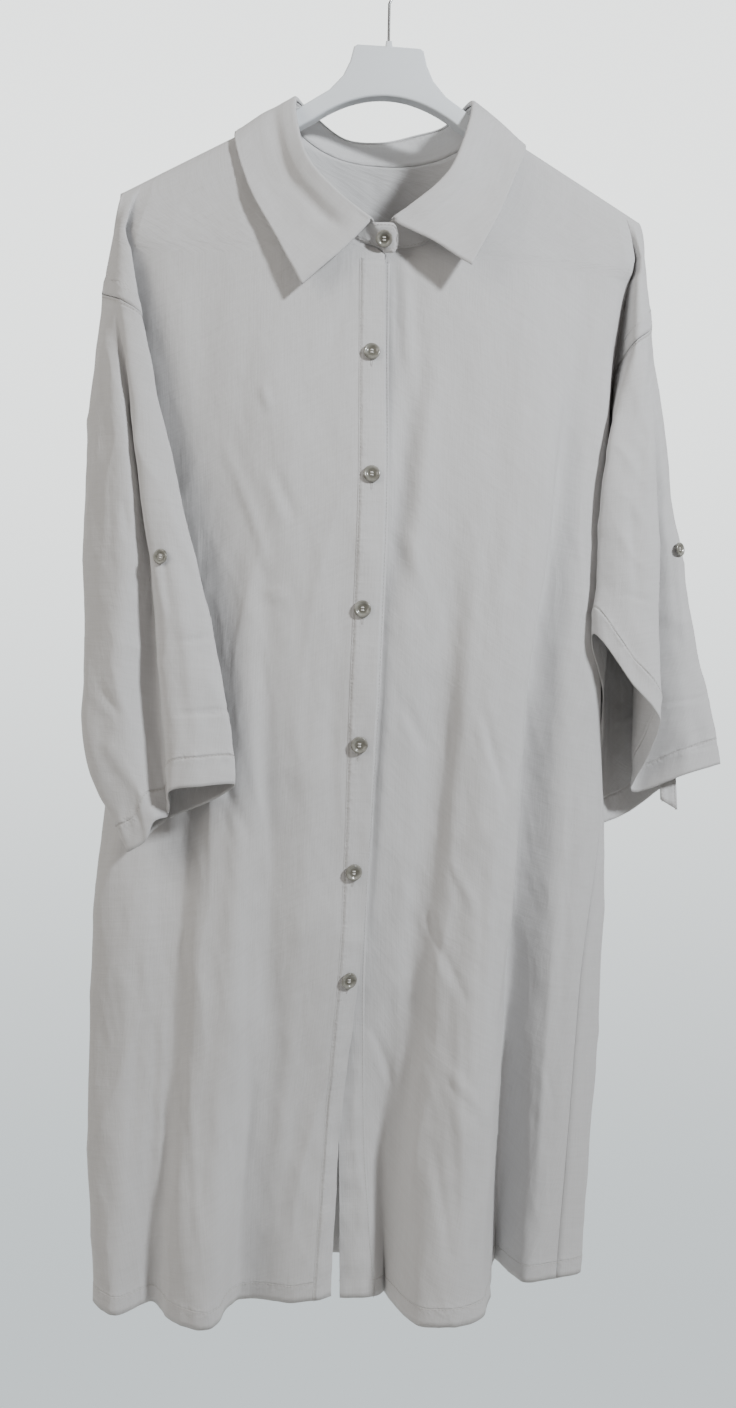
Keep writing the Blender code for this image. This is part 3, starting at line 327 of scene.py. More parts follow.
COLLAR_STATIONS = (
    CollarStation("left_point", 0.00, (-1.6, -5.6, -27.0), (-3.9, -5.7, -29.6), (-7.3, -5.9, -32.8)),
    CollarStation("left_chest", 0.10, (-4.7, -5.0, -24.4), (-7.0, -4.4, -26.4), (-9.6, -4.65, -28.3)),
    CollarStation("left_neck", 0.20, (-7.1, -3.7, -20.9), (-9.7, -2.9, -22.6), (-11.9, -3.05, -23.6)),
    CollarStation("left_shoulder", 0.31, (-7.9, -0.3, -14.8), (-10.8, -0.3, -16.3), (-13.0, -0.3, -17.9)),
    CollarStation("left_nape", 0.39, (-6.2, 3.8, -13.9), (-8.2, 4.8, -16.6), (-9.2, 5.0, -19.2)),
    CollarStation("nape_left", 0.45, (-3.3, 5.2, -15.1), (-4.1, 6.1, -17.2), (-4.6, 6.2, -19.8)),
    CollarStation("nape", 0.50, (0.0, 5.6, -15.0), (0.0, 6.5, -17.2), (0.0, 6.6, -19.9)),
    CollarStation("nape_right", 0.55, (3.1, 5.3, -14.3), (4.1, 6.2, -16.9), (4.6, 6.2, -19.8)),
    CollarStation("right_nape", 0.61, (5.5, 3.9, -14.1), (7.8, 4.9, -16.4), (8.8, 5.0, -19.1)),
    CollarStation("right_shoulder", 0.69, (7.3, -0.3, -14.1), (9.8, -0.3, -15.6), (12.1, -0.3, -17.4)),
    CollarStation("right_neck", 0.80, (5.7, -3.7, -20.2), (8.2, -3.3, -21.8), (10.4, -3.6, -22.6)),
    CollarStation("right_chest", 0.90, (3.9, -4.7, -23.3), (6.2, -4.9, -25.4), (8.6, -5.5, -26.8)),
    CollarStation("right_point", 1.00, (0.2, -5.2, -26.6), (3.3, -6.0, -28.7), (6.5, -6.9, -30.9)),
)
FALL_KNOTS = (0.0, 0.06, 0.12, 0.19, 0.5, 1.0)
STAND_TAB = (
    StandColumn("tip", (0.62, -4.9, -28.8), (0.58, -5.15, -27.9)),
    StandColumn("rounding", (0.45, -4.8, -29.25), (0.35, -5.3, -27.4)),
    StandColumn("corner", (0.15, -4.75, -29.45), (-0.05, -5.35, -27.2)),
)
STAND_UNDER = (StandColumn("under_end", (-2.4, -3.75, -29.15), (-1.6, -4.1, -27.8)),)
STRAP_ROWS = (
    StrapRow("upper", 25.3, 26.65, 0.5, -59.5, -59.5),
    StrapRow("middle", 25.5, 26.95, 0.9, -66.0, -66.0),
    StrapRow("cuff", 25.8, 27.3, 0.9, -72.0, -72.0),
    StrapRow("free_end", 25.9, 27.45, 0.7, -75.0, -75.9),
)
STRAP_SEWN_SHARES = (0.50, 0.53)
STRAP_SEWN_PLACES = (6.2, 6.8)
HANGER_OUTLINE = (
    HangerPoint("boss_top", 0.26, -9.25),
    HangerPoint("boss_foot", 0.30, -9.72),
    HangerPoint("neck_top", 2.75, -9.75),
    HangerPoint("neck_corner", 3.05, -9.95),
    HangerPoint("neck", 3.35, -11.2),
    HangerPoint("flare", 3.95, -12.5),
    HangerPoint("lower_flare", 5.1, -13.8),
    HangerPoint("arm_root", 7.2, -15.2),
    HangerPoint("arm_top", 9.4, -16.9),
    HangerPoint("arm_outer", 20.6, -23.2),
    HangerPoint("tip_top", 21.3, -23.8),
    HangerPoint("tip", 21.5, -24.3),
    HangerPoint("tip_under", 21.1, -24.9),
    HangerPoint("arm_under", 20.3, -24.8),
    HangerPoint("inner_under", 8.6, -17.85),
)

RIGHT_FRONT_CREASES = (
    Crease("chest_short", -10.5, -40.9, -9.4, -43.1, 0.35, 0.14),
    Crease("chest_slant", -9.3, -47.6, -7.4, -52.6, 0.45, -0.15),
    Crease("waist_level", -10.4, -57.8, -7.6, -58.7, 0.35, 0.12),
    Crease("hem_slant", -8.1, -111.5, -6.0, -100.5, 0.8, -0.16),
    Crease("beside_band", -4.4, -62.0, -3.9, -77.0, 0.7, -0.12),
    Crease("long_drop", -11.3, -53.0, -9.2, -93.0, 0.9, 0.16),
    Crease("collar_drop", -9.9, -33.0, -10.9, -52.0, 1.1, 0.06),
    Crease("chest_drop", -15.4, -29.0, -13.6, -56.0, 1.3, -0.06),
    Crease("arm_pull", -20.6, -35.0, -17.8, -40.5, 0.9, -0.04),
    Crease("band_pull", -2.9, -33.0, -5.8, -40.0, 0.7, -0.08),
    Crease("skirt_drop", -13.3, -78.0, -14.4, -114.0, 0.8, -0.14),
    Crease("inner_drop", -6.6, -84.0, -7.9, -112.0, 0.7, 0.12),
    Crease("side_drop", -19.6, -84.0, -20.4, -115.0, 0.7, -0.14),
    Crease("lap_slant", -13.6, -45.0, -9.0, -57.0, 0.45, 0.11),
    Crease("lobe_slant", -15.0, -69.0, -10.4, -78.5, 0.4, -0.11),
    Crease("hem_rise", -15.4, -96.0, -13.9, -116.0, 0.4, 0.09),
    Crease("hem_fall", -10.0, -98.0, -11.5, -116.5, 0.4, -0.1),
    Crease("lap_valley", -9.9, -50.0, -8.6, -106.0, 0.9, -0.2),
    Crease("lap_ridge", -11.9, -62.0, -11.2, -108.0, 0.7, 0.16),
    Crease("corner_drop", -17.6, -90.0, -18.1, -114.0, 0.4, 0.09),
)
LEFT_FRONT_CREASES = (
    Crease("slit_diagonal", -0.4, -93.9, 2.3, -100.4, 0.35, -0.1),
    Crease("tab_pleat", 0.5, -29.0, 1.0, -38.5, 0.3, -0.1),
    Crease("tab_ridge", 1.2, -29.4, 1.7, -39.5, 0.32, 0.1),
    Crease("tab_fan", 2.1, -30.2, 3.0, -41.5, 0.5, -0.09),
    Crease("chest_drop", 7.6, -34.0, 6.9, -60.0, 1.2, 0.07),
    Crease("shoulder_drop", 15.2, -27.0, 14.4, -50.0, 1.3, -0.06),
    Crease("arm_pull", 20.0, -33.0, 16.8, -43.0, 0.9, -0.12),
    Crease("edge_pull", 0.9, -52.0, 3.4, -58.0, 0.55, 0.13),
    Crease("waist_slant", 1.2, -66.0, 4.2, -71.5, 0.45, -0.14),
    Crease("ridge_side", 9.9, -70.0, 7.5, -112.0, 0.6, 0.12),
    Crease("inner_drop", 3.3, -78.0, 2.8, -113.0, 0.6, -0.12),
    Crease("flank_drop", 11.8, -80.0, 11.2, -113.0, 0.5, 0.1),
    Crease("side_drop", 17.0, -70.0, 16.4, -112.0, 0.6, -0.1),
    Crease("lobe_slant", 3.4, -83.0, 7.7, -92.2, 0.35, -0.14),
    Crease("lobe_long", 6.4, -88.0, 7.8, -114.0, 0.4, 0.09),
    Crease("lobe_beside", 8.6, -82.0, 8.3, -108.0, 0.4, -0.09),
    Crease("lobe_knot", 5.6, -96.4, 8.9, -100.6, 0.35, 0.13),
    Crease("lobe_low", 5.0, -103.0, 6.6, -113.5, 0.4, -0.09),
    Crease("side_long", 15.6, -84.0, 15.1, -114.0, 0.35, 0.08),
    Crease("side_slant", 14.9, -96.5, 16.7, -102.5, 0.3, -0.06),
    Crease("belly_slant", 7.9, -67.0, 10.4, -74.5, 0.38, -0.14),
    Crease("lobe_short", 5.9, -79.5, 8.0, -84.0, 0.35, 0.13),
    Crease("edge_valley", 2.3, -38.0, 0.0, -60.0, 1.1, -0.34),
    Crease("edge_ridge", 4.0, -38.0, 1.3, -62.0, 0.8, 0.2),
    Crease("lobe_foot", 5.6, -50.0, 2.9, -102.0, 1.3, -0.3),
    Crease("lobe_brow", 7.4, -50.0, 4.7, -104.0, 0.8, 0.18),
    Crease("edge_shadow", -0.12, -29.5, -0.12, -56.0, 0.17, -0.1),
    Crease("edge_shadow_low", -0.15, -53.0, -0.85, -89.0, 0.17, -0.16),
    Crease("edge_gather", -0.1, -55.0, -0.75, -84.0, 0.45, -0.2),
    Crease("belly_short", 12.4, -52.0, 10.8, -60.0, 0.5, 0.08),
)
BACK_CREASES = (
    Crease("yoke_left", 9.5, -24.0, 8.2, -46.0, 1.2, 0.14),
    Crease("yoke_right", -10.2, -24.0, -8.7, -50.0, 1.2, 0.14),
    Crease("nape_drop", 0.6, -22.0, -0.6, -60.0, 1.4, -0.16),
    Crease("arm_pull_left", 18.6, -36.0, 11.5, -47.0, 1.1, -0.18),
    Crease("arm_pull_right", -19.4, -36.0, -12.6, -49.0, 1.1, -0.18),
    Crease("waist_left", 13.0, -62.0, 7.0, -68.0, 0.8, 0.1),
    Crease("waist_right", -4.0, -74.0, -10.0, -79.0, 0.8, 0.1),
    Crease("skirt_left", 10.4, -70.0, 11.3, -115.0, 0.8, -0.16),
    Crease("skirt_right", -12.2, -66.0, -13.6, -115.0, 0.8, -0.16),
    Crease("skirt_middle", 2.8, -80.0, 3.3, -114.0, 0.7, 0.14),
)
RIGHT_SLEEVE_CREASES = (
    Crease("press_upper", -17.4, -62.6, -12.8, -61.5, 0.22, -0.07),
    Crease("press_lower", -17.0, -68.1, -11.6, -67.5, 0.2, -0.12),
    Crease("elbow_short", -21.3, -50.3, -20.8, -54.4, 0.35, -0.1),
    Crease("elbow_long", -18.3, -54.5, -17.0, -60.5, 0.3, -0.1),
    Crease("lobe_slant", -23.2, -65.6, -21.0, -68.4, 0.35, -0.12),
    Crease("lobe_low", -22.4, -70.0, -20.0, -74.0, 0.5, 0.1),
    Crease("flap_drop", -16.6, -56.0, -14.7, -72.0, 0.5, 0.08),
    Crease("seam_pull", -22.6, -35.5, -20.8, -46.0, 0.6, -0.14),
)
LEFT_SLEEVE_CREASES = (
    Crease("press_upper", 25.2, -66.5, 30.2, -65.6, 0.2, -0.09),
    Crease("press_lower", 25.2, -70.7, 31.0, -69.8, 0.2, -0.1),
    Crease("lobe_press", 18.3, -57.0, 23.8, -58.0, 0.22, -0.06),
    Crease("elbow_long", 20.6, -48.0, 21.6, -58.0, 0.4, -0.1),
    Crease("elbow_short", 22.6, -44.0, 22.2, -50.0, 0.4, 0.1),
    Crease("outer_drop", 25.7, -48.0, 27.7, -64.0, 0.35, 0.1),
    Crease("seam_pull", 23.6, -35.0, 22.0, -44.0, 0.5, -0.12),
)
LEFT_SLEEVE_BACK_CREASES = (
    Crease("inside_fold", 22.8, -58.0, 22.0, -79.0, 0.45, 0.3),
    Crease("back_long", 25.6, -44.0, 26.6, -66.0, 0.6, -0.14),
    Crease("back_press", 22.0, -68.5, 28.5, -66.5, 0.25, -0.08),
    Crease("back_elbow", 21.6, -50.0, 25.0, -55.0, 0.5, -0.14),
)
RIGHT_SLEEVE_BACK_CREASES = (
    Crease("back_long", -23.6, -46.0, -22.6, -70.0, 0.6, -0.14),
    Crease("back_elbow", -23.4, -52.0, -20.0, -56.0, 0.5, -0.14),
    Crease("back_press", -23.0, -66.0, -16.0, -67.5, 0.25, -0.08),
)

# What the sewing adds: distances of stitch lines from an edge of their panel
BODY_HEM = 1.5
CUFF_HEM = 2.3
EDGE_STITCH = 0.18
FRONT_BUTTONS = ((0.5, -37.95), (0.5, -48.35), (0.66, -59.3), (0.57, -70.2), (0.6, -80.65), (0.55, -89.7))
COLLAR_BUTTON_RISE = 0.48
COLLAR_BUTTON_ACROSS = 0.4
BUTTONHOLE_DROP = 0.28


class Cut(NamedTuple):
    """Flat cut of a sheet in metres, and its area where that isn't the whole rectangle."""

    width: float
    length: float
    area: float | None = None


class Held(Enum):
    """How a sheet is held."""

    HUNG = "hung"
    FOLDED = "folded"


class Edge(Enum):
    """The four edges of a panel's grid."""

    TOP = "top"
    BOTTOM = "bottom"
    FIRST = "first"
    LAST = "last"


def mix(a: Value, b: Value, f: float) -> Value:
    """Value or point at share f of the way from a to b."""
    return a + (b - a) * f


def wander(along: np.ndarray, pitch: float, sway: float, slow: float) -> np.ndarray:
    """Wave from -1 to 1 whose pitch isn't even."""
    return np.sin(along * pitch + sway * np.sin(along * slow))


def smooth_step(low: float, high: float, value: float) -> float:
    """Rises softly from 0 at low to 1 at high."""
    f = min(max((value - low) / (high - low), 0.0), 1.0)
    return f * f * (3 - 2 * f)


def soft_rise(low: float, high: float, values: np.ndarray) -> np.ndarray:
    """The same soft rise for an array."""
    f = np.clip((values - low) / (high - low), 0.0, 1.0)
    return f * f * (3 - 2 * f)


def spread(start: float, end: float, count: int) -> list[float]:
    """Evenly spaced values from start to end."""
    return [mix(start, end, i / (count - 1)) for i in range(count)]


def refined(values: Sequence[float], step: float) -> list[float]:
    """The values with even ones put between neighbours that lie further apart than a step.

    Args:
        values: places that rise or fall.
        step: the widest gap that is left.

    Returns:
        The values and those between them.
    """
    out = [values[0]]
    for a, b in zip(values, values[1:]):
        count = max(1, math.ceil(abs(b - a) / step))
        out += [mix(a, b, (i + 1) / count) for i in range(count)]
    return out


def curve_at(knots: Sequence[float], values: Sequence[Value], t: float) -> Value:
    """Smooth curve through the values at rising knots, with slopes from the neighbours.

    Args:
        knots: rising places.
        values: what the curve meets there.
        t: the place asked for.

    Returns:
        Its value there.
    """
    last = len(knots) - 1
    k = 0
    while k < last - 1 and t > knots[k + 1]:
        k += 1
    span = knots[k + 1] - knots[k]
    f = (t - knots[k]) / span
    before = max(k - 1, 0)
    after = min(k + 2, last)
    leaving = (values[k + 1] - values[before]) / (knots[k + 1] - knots[before]) * span
    arriving = (values[after] - values[k]) / (knots[after] - knots[k]) * span
    return (
        values[k] * (2 * f**3 - 3 * f**2 + 1)
        + leaving * (f**3 - 2 * f**2 + f)
        + values[k + 1] * (3 * f**2 - 2 * f**3)
        + arriving * (f**3 - f**2)
    )


def at_height(levels: Sequence[float], values: Sequence[float], z: float) -> float:
    """Value of a table row at height z. The levels fall from the top down."""
    depths = [-level for level in levels[: len(values)]]
    return curve_at(depths, values, min(max(-z, depths[0]), depths[-1]))


class RowCurve:
    """Smooth curve across one row of fold lines, with knots spaced by a power of their distance."""

    least = 0.02
    power = 0.7

    def __init__(self, points: list[Vector]) -> None:
        """Keeps the points and works out the curve's knots.

        Args:
            points: of the row, one on each fold line.
        """
        self.points = points
        self.knots = [0.0]
        for a, b in zip(points, points[1:]):
            self.knots.append(self.knots[-1] + max((b - a).length, self.least) ** self.power)

    def at(self, s: float) -> Vector:
        """Point at place s, a count of fold lines."""
        k = min(int(s), len(self.points) - 2)
        return curve_at(self.knots, self.points, mix(self.knots[k], self.knots[k + 1], s - k))


def ridge_z(x: float) -> float:
    """Height of the shoulder line over the hanger arm."""
    return TIP_Z + (SHOULDER_REACH - min(max(abs(x), NECK_HALF), SHOULDER_REACH)) * SHOULDER_SLOPE


def ridge_x(z: float) -> float:
    """Reach of the shoulder line at height z."""
    return SHOULDER_REACH - (z - TIP_Z) / SHOULDER_SLOPE


def off_arm(x: float, z: float, lean: float) -> float:
    """Depth of cloth that bends over the hanger arm and then leans away from it."""
    drop = max(ridge_z(x) - z, 0.0)
    return GAP + ARM_ROUND * math.sqrt(1.0 - math.exp(-drop / ARM_FALL)) + lean * drop


def chest_y(x: float, z: float) -> float:
    """Depth of the cloth in front of the hanger."""
    return -off_arm(x, z, CHEST_LEAN)


def upper_back_y(x: float, z: float) -> float:
    """Depth of the cloth behind the hanger."""
    nape = NAPE_DEPTH * max(0.0, 1.0 - (x / NAPE_REACH) ** 2)
    return off_arm(x, z, BACK_LEAN) + nape


def fold_point(fold: Fold, z: float) -> Vector:
    """Point of a fold line at height z."""
    return Vector((at_height(LEVELS, fold.x, z), at_height(LEVELS, fold.y, z), z))


def hem_drop(hems: Sequence[float], s: float, z: float) -> float:
    """How far the hem at place s hangs above the lowest level, eased in from where it starts.

    Args:
        hems: height of the hem at each fold line.
        s: the place across.
        z: the height there.

    Returns:
        The rise over the lowest level.
    """
    k = min(int(s), len(hems) - 2)
    hem = mix(hems[k], hems[k + 1], smooth_step(0.0, 1.0, s - k))
    return (hem - HEM_Z) * smooth_step(-HEM_RISE_Z, -HEM_Z, -z)


def neck_half(z: float) -> float:
    """Half width of the front neck opening at height z."""
    f = min(max((NECK_SIDE_Z - z) / (NECK_SIDE_Z - NECK_FRONT_Z), 0.0), 1.0)
    return NECK_HALF * (1.0 - f**2) ** NECK_CURVE


def back_neck_z(x: float) -> float:
    """Height of the back neck seam at x."""
    return mix(NECK_BACK_Z, NECK_SIDE_Z, min(abs(x) / NECK_HALF, 1.0) ** 3)


def seam_share(z: float) -> float:
    """Share of the way along the armhole seam from the crest down to the valley beside the body."""
    return min(max((SEAM_CREST_Z - z) / (SEAM_CREST_Z - SEAM_VALLEY_Z), 0.0), 1.0)


def over_seam(z: float, share: float) -> float:
    """Height of a row where the cloth ends on the slanting armhole seam.

    Args:
        z: height of the row inside the seam.
        share: of the way from the crest to the valley.

    Returns:
        The row's height there.
    """
    if z >= ARM_TOP_Z:
        return z
    end = mix(SEAM_CREST_Z, SEAM_VALLEY_Z, share)
    return mix(ARM_TOP_Z, end, (ARM_TOP_Z - z) / (ARM_TOP_Z - SEAM_VALLEY_Z))


def linked(name: str, data: bpy.types.ID) -> bpy.types.Object:
    """Makes an object and links it to the scene.

    Args:
        name: of the object.
        data: its mesh, curve, lamp or camera.

    Returns:
        The object.
    """
    made = bpy.data.objects.new(name, data)
    bpy.context.scene.collection.objects.link(made)
    return made


def plain_mesh(holder: bpy.types.Object) -> bpy.types.Mesh:
    """Turns an object into a plain mesh, as its modifiers leave it, and removes the object.

    Args:
        holder: the object.

    Returns:
        The mesh.
    """
    mesh = bpy.data.meshes.new_from_object(holder.evaluated_get(bpy.context.evaluated_depsgraph_get()))
    bpy.data.objects.remove(holder)
    return mesh


def seated(piece: bpy.types.Object, node: str | None = None) -> None:
    """Lets a piece ride on the body, and reports it.

    Args:
        piece: the piece.
        node: that it replaces, if any.
    """
    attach(piece, "root")
    if node:
        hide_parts(node)
    log.info("%s: %d faces", piece.name, len(piece.data.polygons))


def traced(name: str, paths: Sequence[Sequence[Triple]], wire: float, roundness: int) -> bpy.types.Curve:
    """Makes a round wire along each path.

    Args:
        name: of the curve.
        paths: their points.
        wire: its radius.
        roundness: how finely it is rounded.

    Returns:
        The curve, with capped ends.
    """
    curve = bpy.data.curves.new(name, "CURVE")
    curve.dimensions = "3D"
    curve.bevel_depth = wire
    curve.bevel_resolution = roundness
    curve.use_fill_caps = True
    for path in paths:
        run_through(curve, path)
    return curve


def run_through(curve: bpy.types.Curve, path: Sequence[Triple]) -> bpy.types.Spline:
    """Adds straight runs through a path's points to a curve.

    Args:
        curve: the curve.
        path: the points.

    Returns:
        The new spline.
    """
    spline = curve.splines.new("POLY")
    spline.points.add(len(path) - 1)
    for point, at in zip(spline.points, path):
        point.co = (*at, 1.0)
    return spline


@dataclass
class ClothGrid:
    """A panel of cloth as rows of points in centimetres, NaN where it has none.

    Attributes:
        name: the piece's name.
        points: rows, columns and xyz.
        facing: 1 or -1, which turns the grid's own normals outwards.
        closed: whether the last column joins the first.
        seams: stitch lines, each an edge and its distance from it.
    """

    name: str
    points: np.ndarray
    facing: float
    closed: bool = False
    seams: tuple[tuple[Edge, float], ...] = ()

    def normals(self) -> np.ndarray:
        """Outward unit normal at each point.

        Returns:
            Array of the same shape as the points.
        """
        p = self.points
        if self.closed:
            across = np.roll(p, -1, 1) - np.roll(p, 1, 1)
        else:
            across = self._difference(p, 1)
        down = self._difference(p, 0)
        n = np.cross(across, down) * self.facing
        size = np.linalg.norm(n, axis=2, keepdims=True)
        return n / np.maximum(size, 1e-9)

    @staticmethod
    def _difference(p: np.ndarray, axis: int) -> np.ndarray:
        """Difference of the neighbours along an axis, one-sided beside an edge or an empty place.

        Args:
            p: rows, columns and xyz.
            axis: 0 down or 1 across.

        Returns:
            Array of the same shape.
        """
        ahead = np.full_like(p, np.nan)
        behind = np.full_like(p, np.nan)
        steps = np.diff(p, axis=axis)
        if axis == 0:
            ahead[:-1] = steps
            behind[1:] = steps
        else:
            ahead[:, :-1] = steps
            behind[:, 1:] = steps
        both = np.stack((ahead, behind))
        known = np.isfinite(both)
        count = np.maximum(known.sum(axis=0), 1)
        return np.where(known, both, 0.0).sum(axis=0) / count

    def held(self, edges: Sequence[Edge], reach: float) -> np.ndarray:
        """Share from 0 at the named edges to 1 a reach away from them.

        Args:
            edges: those that stay as they are.
            reach: how far that holds.

        Returns:
            The share at each point.
        """
        share = np.ones(self.points.shape[:2])
        for edge in edges:
            share = np.minimum(share, soft_rise(0.0, reach, self.distance(edge)))
        return share

    def move(self, depth: np.ndarray) -> None:
        """Moves each point out by its depth."""
        self.points = self.points + self.normals() * depth[..., None]

    def settle(self, at: Vector, out: Vector, radius: float) -> Vector:
        """Moves a place along a direction until it rests on the cloth round it.

        Args:
            at: the place.
            out: the direction, outwards.
            radius: of the cloth that counts.

        Returns:
            The place on the cloth.
        """
        away = self.points - np.array(at)
        rise = away @ np.array(out)
        aside = np.linalg.norm(away - rise[..., None] * np.array(out), axis=2)
        near = (aside < radius) & (np.abs(rise) < SETTLE_REACH)
        return at + out * float(rise[near].max())

    def lengths(self, axis: int) -> np.ndarray:
        """Length of cloth from the first row or column to each point.

        Args:
            axis: 0 down or 1 across.

        Returns:
            Length at each point.
        """
        steps = np.linalg.norm(np.diff(self.points, axis=axis), axis=2)
        total = np.cumsum(np.nan_to_num(steps), axis=axis)
        pad = [(0, 0), (0, 0)]
        pad[axis] = (1, 0)
        return np.pad(total, pad)

    def distance(self, edge: Edge) -> np.ndarray:
        """Length of cloth between each point and an edge.

        Args:
            edge: the edge.

        Returns:
            Length at each point.
        """
        axis = 0 if edge in (Edge.TOP, Edge.BOTTOM) else 1
        total = self.lengths(axis)
        if edge in (Edge.TOP, Edge.FIRST):
            return total
        return (total[-1:] if axis == 0 else total[:, -1:]) - total

    def seam_distance(self) -> np.ndarray:
        """Distance of each point from the nearest stitch line.

        Returns:
            Distance at each point.
        """
        nearest = np.full(self.points.shape[:2], NO_SEAM)
        for edge, away in self.seams:
            nearest = np.minimum(nearest, np.abs(self.distance(edge) - away))
        return nearest

    def line(self, edge: Edge, away: float, lift: float) -> list[Vector]:
        """Path along an edge, on the outside of the cloth.

        Args:
            edge: the edge that it follows.
            away: its distance from that edge.
            lift: its height over the middle of the cloth.

        Returns:
            Points in metres.
        """
        axis = 0 if edge in (Edge.TOP, Edge.BOTTOM) else 1
        raised = self.points + self.normals() * lift
        far = self.distance(edge)
        if axis == 1:
            raised = raised.swapaxes(0, 1)
            far = far.swapaxes(0, 1)
        path = []
        for k in range(raised.shape[1]):
            known = np.isfinite(raised[:, k, 0])
            end = known[0] if edge in (Edge.TOP, Edge.FIRST) else known[-1]
            order = np.argsort(far[known, k])
            track = far[known, k][order]
            if not end or track.size < 2 or track[-1] < away:
                continue
            place = raised[known, k][order]
            path.append(Vector([float(np.interp(away, track, place[:, i])) for i in range(3)]) * CM)
        return path

    def faces(self, known: np.ndarray) -> list[list[int]]:
        """Quads between the points that the grid has.

        Args:
            known: whether it has a point at each place.

        Returns:
            The four point numbers of each quad.
        """
        rows, cols = known.shape
        index = np.full((rows, cols), -1)
        index[known] = np.arange(known.sum())
        quads = []
        for i in range(rows - 1):
            for j in range(cols if self.closed else cols - 1):
                k = (j + 1) % cols
                corners = (index[i, j], index[i, k], index[i + 1, k], index[i + 1, j])
                if min(corners) >= 0:
                    quads.append([int(c) for c in corners])
        return quads

    def build(
        self,
        node: str,
        thickness: float,
        finish: bpy.types.Material,
    ) -> None:
        """Makes the piece: an open sheet with its weave's UV map, given its thickness by Solidify.

        Args:
            node: that it replaces.
            thickness: in centimetres.
            finish: its material.
        """
        known = np.isfinite(self.points[..., 0])
        mesh = bpy.data.meshes.new(self.name)
        mesh.from_pydata((self.points[known] * CM).tolist(), [], self.faces(known))
        mesh.shade_smooth()
        mesh.materials.append(finish)
        across = self.lengths(1)[known]
        down = self.lengths(0)[known]
        weave = np.stack((across, down), axis=1) * WEAVE_SCALE
        layer = mesh.uv_layers.new(name="weave")
        corner = np.empty(len(mesh.loops), dtype=np.int32)
        mesh.loops.foreach_get("vertex_index", corner)
        layer.data.foreach_set("uv", weave[corner].astype(np.float32).ravel())
        seam = mesh.attributes.new("seam_distance", "FLOAT", "POINT")
        seam.data.foreach_set("value", self.seam_distance()[known].astype(np.float32))
        piece = linked(self.name, mesh)
        shell = piece.modifiers.new("thickness", "SOLIDIFY")
        shell.thickness = thickness * CM
        shell.offset = 0.0
        shell.use_quality_normals = True
        seated(piece, node)
        area = sum(face.area for face in mesh.polygons)
        log.info("its cloth: %.4f m2, %.3f by %.3f m", area, across.max() * CM, down.max() * CM)


def crease_relief(points: np.ndarray, creases: Sequence[Crease]) -> np.ndarray:
    """Depth that a table of creases adds at each point, from its x and z.

    Args:
        points: the cloth's grid.
        creases: the table.

    Returns:
        Depth at each point, 0 where the grid is empty.
    """
    x = points[..., 0]
    z = points[..., 2]
    total = np.zeros(x.shape)
    for crease in creases:
        run = crease.x2 - crease.x1
        fall = crease.z2 - crease.z1
        length = math.hypot(run, fall)
        along = np.clip(((x - crease.x1) * run + (z - crease.z1) * fall) / length**2, 0.0, 1.0)
        bend = CREASE_BEND * crease.width * np.sin(along * CREASE_WAVES + crease.x1)
        off = (((x - crease.x1) * fall - (z - crease.z1) * run) / length + bend) / crease.width
        shape = np.exp(-(off**2)) - CREASE_SWELLING * np.exp(-((off - CREASE_SWELLING_AT) ** 2))
        total += CREASE_GAIN * crease.depth * np.sin(np.pi * along) ** CREASE_TAPER * shape
    return np.nan_to_num(total)


class Swell(NamedTuple):
    """Uneven swelling of cloth: its width and length, its depth, its slant and whether it peaks sharply."""

    wide: float
    long: float
    depth: float
    slant: float = 0.0
    sharp: bool = False


BODY_SWELLS = (
    Swell(4.5, 16.0, 0.36),
    Swell(1.9, 8.0, 0.11, 0.12),
    Swell(5.0, 17.0, 0.14, -0.2, True),
    Swell(1.5, 2.6, 0.05),
    Swell(2.2, 6.0, 0.05, 0.25, True),
)
SLEEVE_SWELLS = (
    Swell(3.0, 8.0, 0.22),
    Swell(1.2, 3.0, 0.06, 0.3),
    Swell(3.2, 9.0, 0.12, 0.25, True),
    Swell(1.1, 1.5, 0.04),
)
COLLAR_SWELLS = (Swell(3.5, 3.5, 0.10), Swell(1.2, 1.4, 0.025), Swell(4.0, 3.0, 0.04, 0.4, True))
SWELL_SHIFT = 3.7
SWELL_PEAK = 3.0

# A turned hem: how far its double cloth stands out, how softly it ends and how far its puckers reach
HEM_RAISE = 0.035
HEM_END = 0.12
HEM_PUCKER_REACH = 0.45


def soft_relief(points: np.ndarray, swells: Sequence[Swell], seed: float) -> np.ndarray:
    """Uneven swelling at each point, from stretched noise.

    Args:
        points: the cloth's grid.
        swells: the layers of noise.
        seed: moves the noise, so that pieces differ.

    Returns:
        Depth at each point.
    """
    out = np.zeros(points.shape[:2])
    for i, j in zip(*np.nonzero(np.isfinite(points[..., 0]))):
        x, y, z = points[i, j]
        for k, swell in enumerate(swells):
            across = (x + swell.slant * z) / swell.wide + seed + SWELL_SHIFT * k
            value = noise.noise(Vector((across, y / swell.wide, z / swell.long)))
            peak = (1.0 - min(abs(value) * SWELL_PEAK, 1.0)) ** 2
            out[i, j] += swell.depth * (peak if swell.sharp else value)
    return out


def hem_relief(grid: ClothGrid, edge: Edge, width: float, pucker: float) -> np.ndarray:
    """Double cloth of a turned hem, with small puckers that its stitches draw.

    Args:
        grid: the cloth.
        edge: its hemmed edge.
        width: of the hem.
        pucker: depth of its puckers.

    Returns:
        Depth at each point.
    """
    away = grid.distance(edge)
    along = grid.lengths(1 if edge in (Edge.TOP, Edge.BOTTOM) else 0)
    fold = 1.0 - soft_rise(width - HEM_END, width + HEM_END, away)
    wave = wander(along, 4.1, 1.3, 0.9) + 0.6 * np.sin(along * 2.3 + 1.0)
    near = np.exp(-(((away - width) / (HEM_PUCKER_REACH * width)) ** 2)) + 0.6 * fold
    return HEM_RAISE * fold + pucker * wave * near


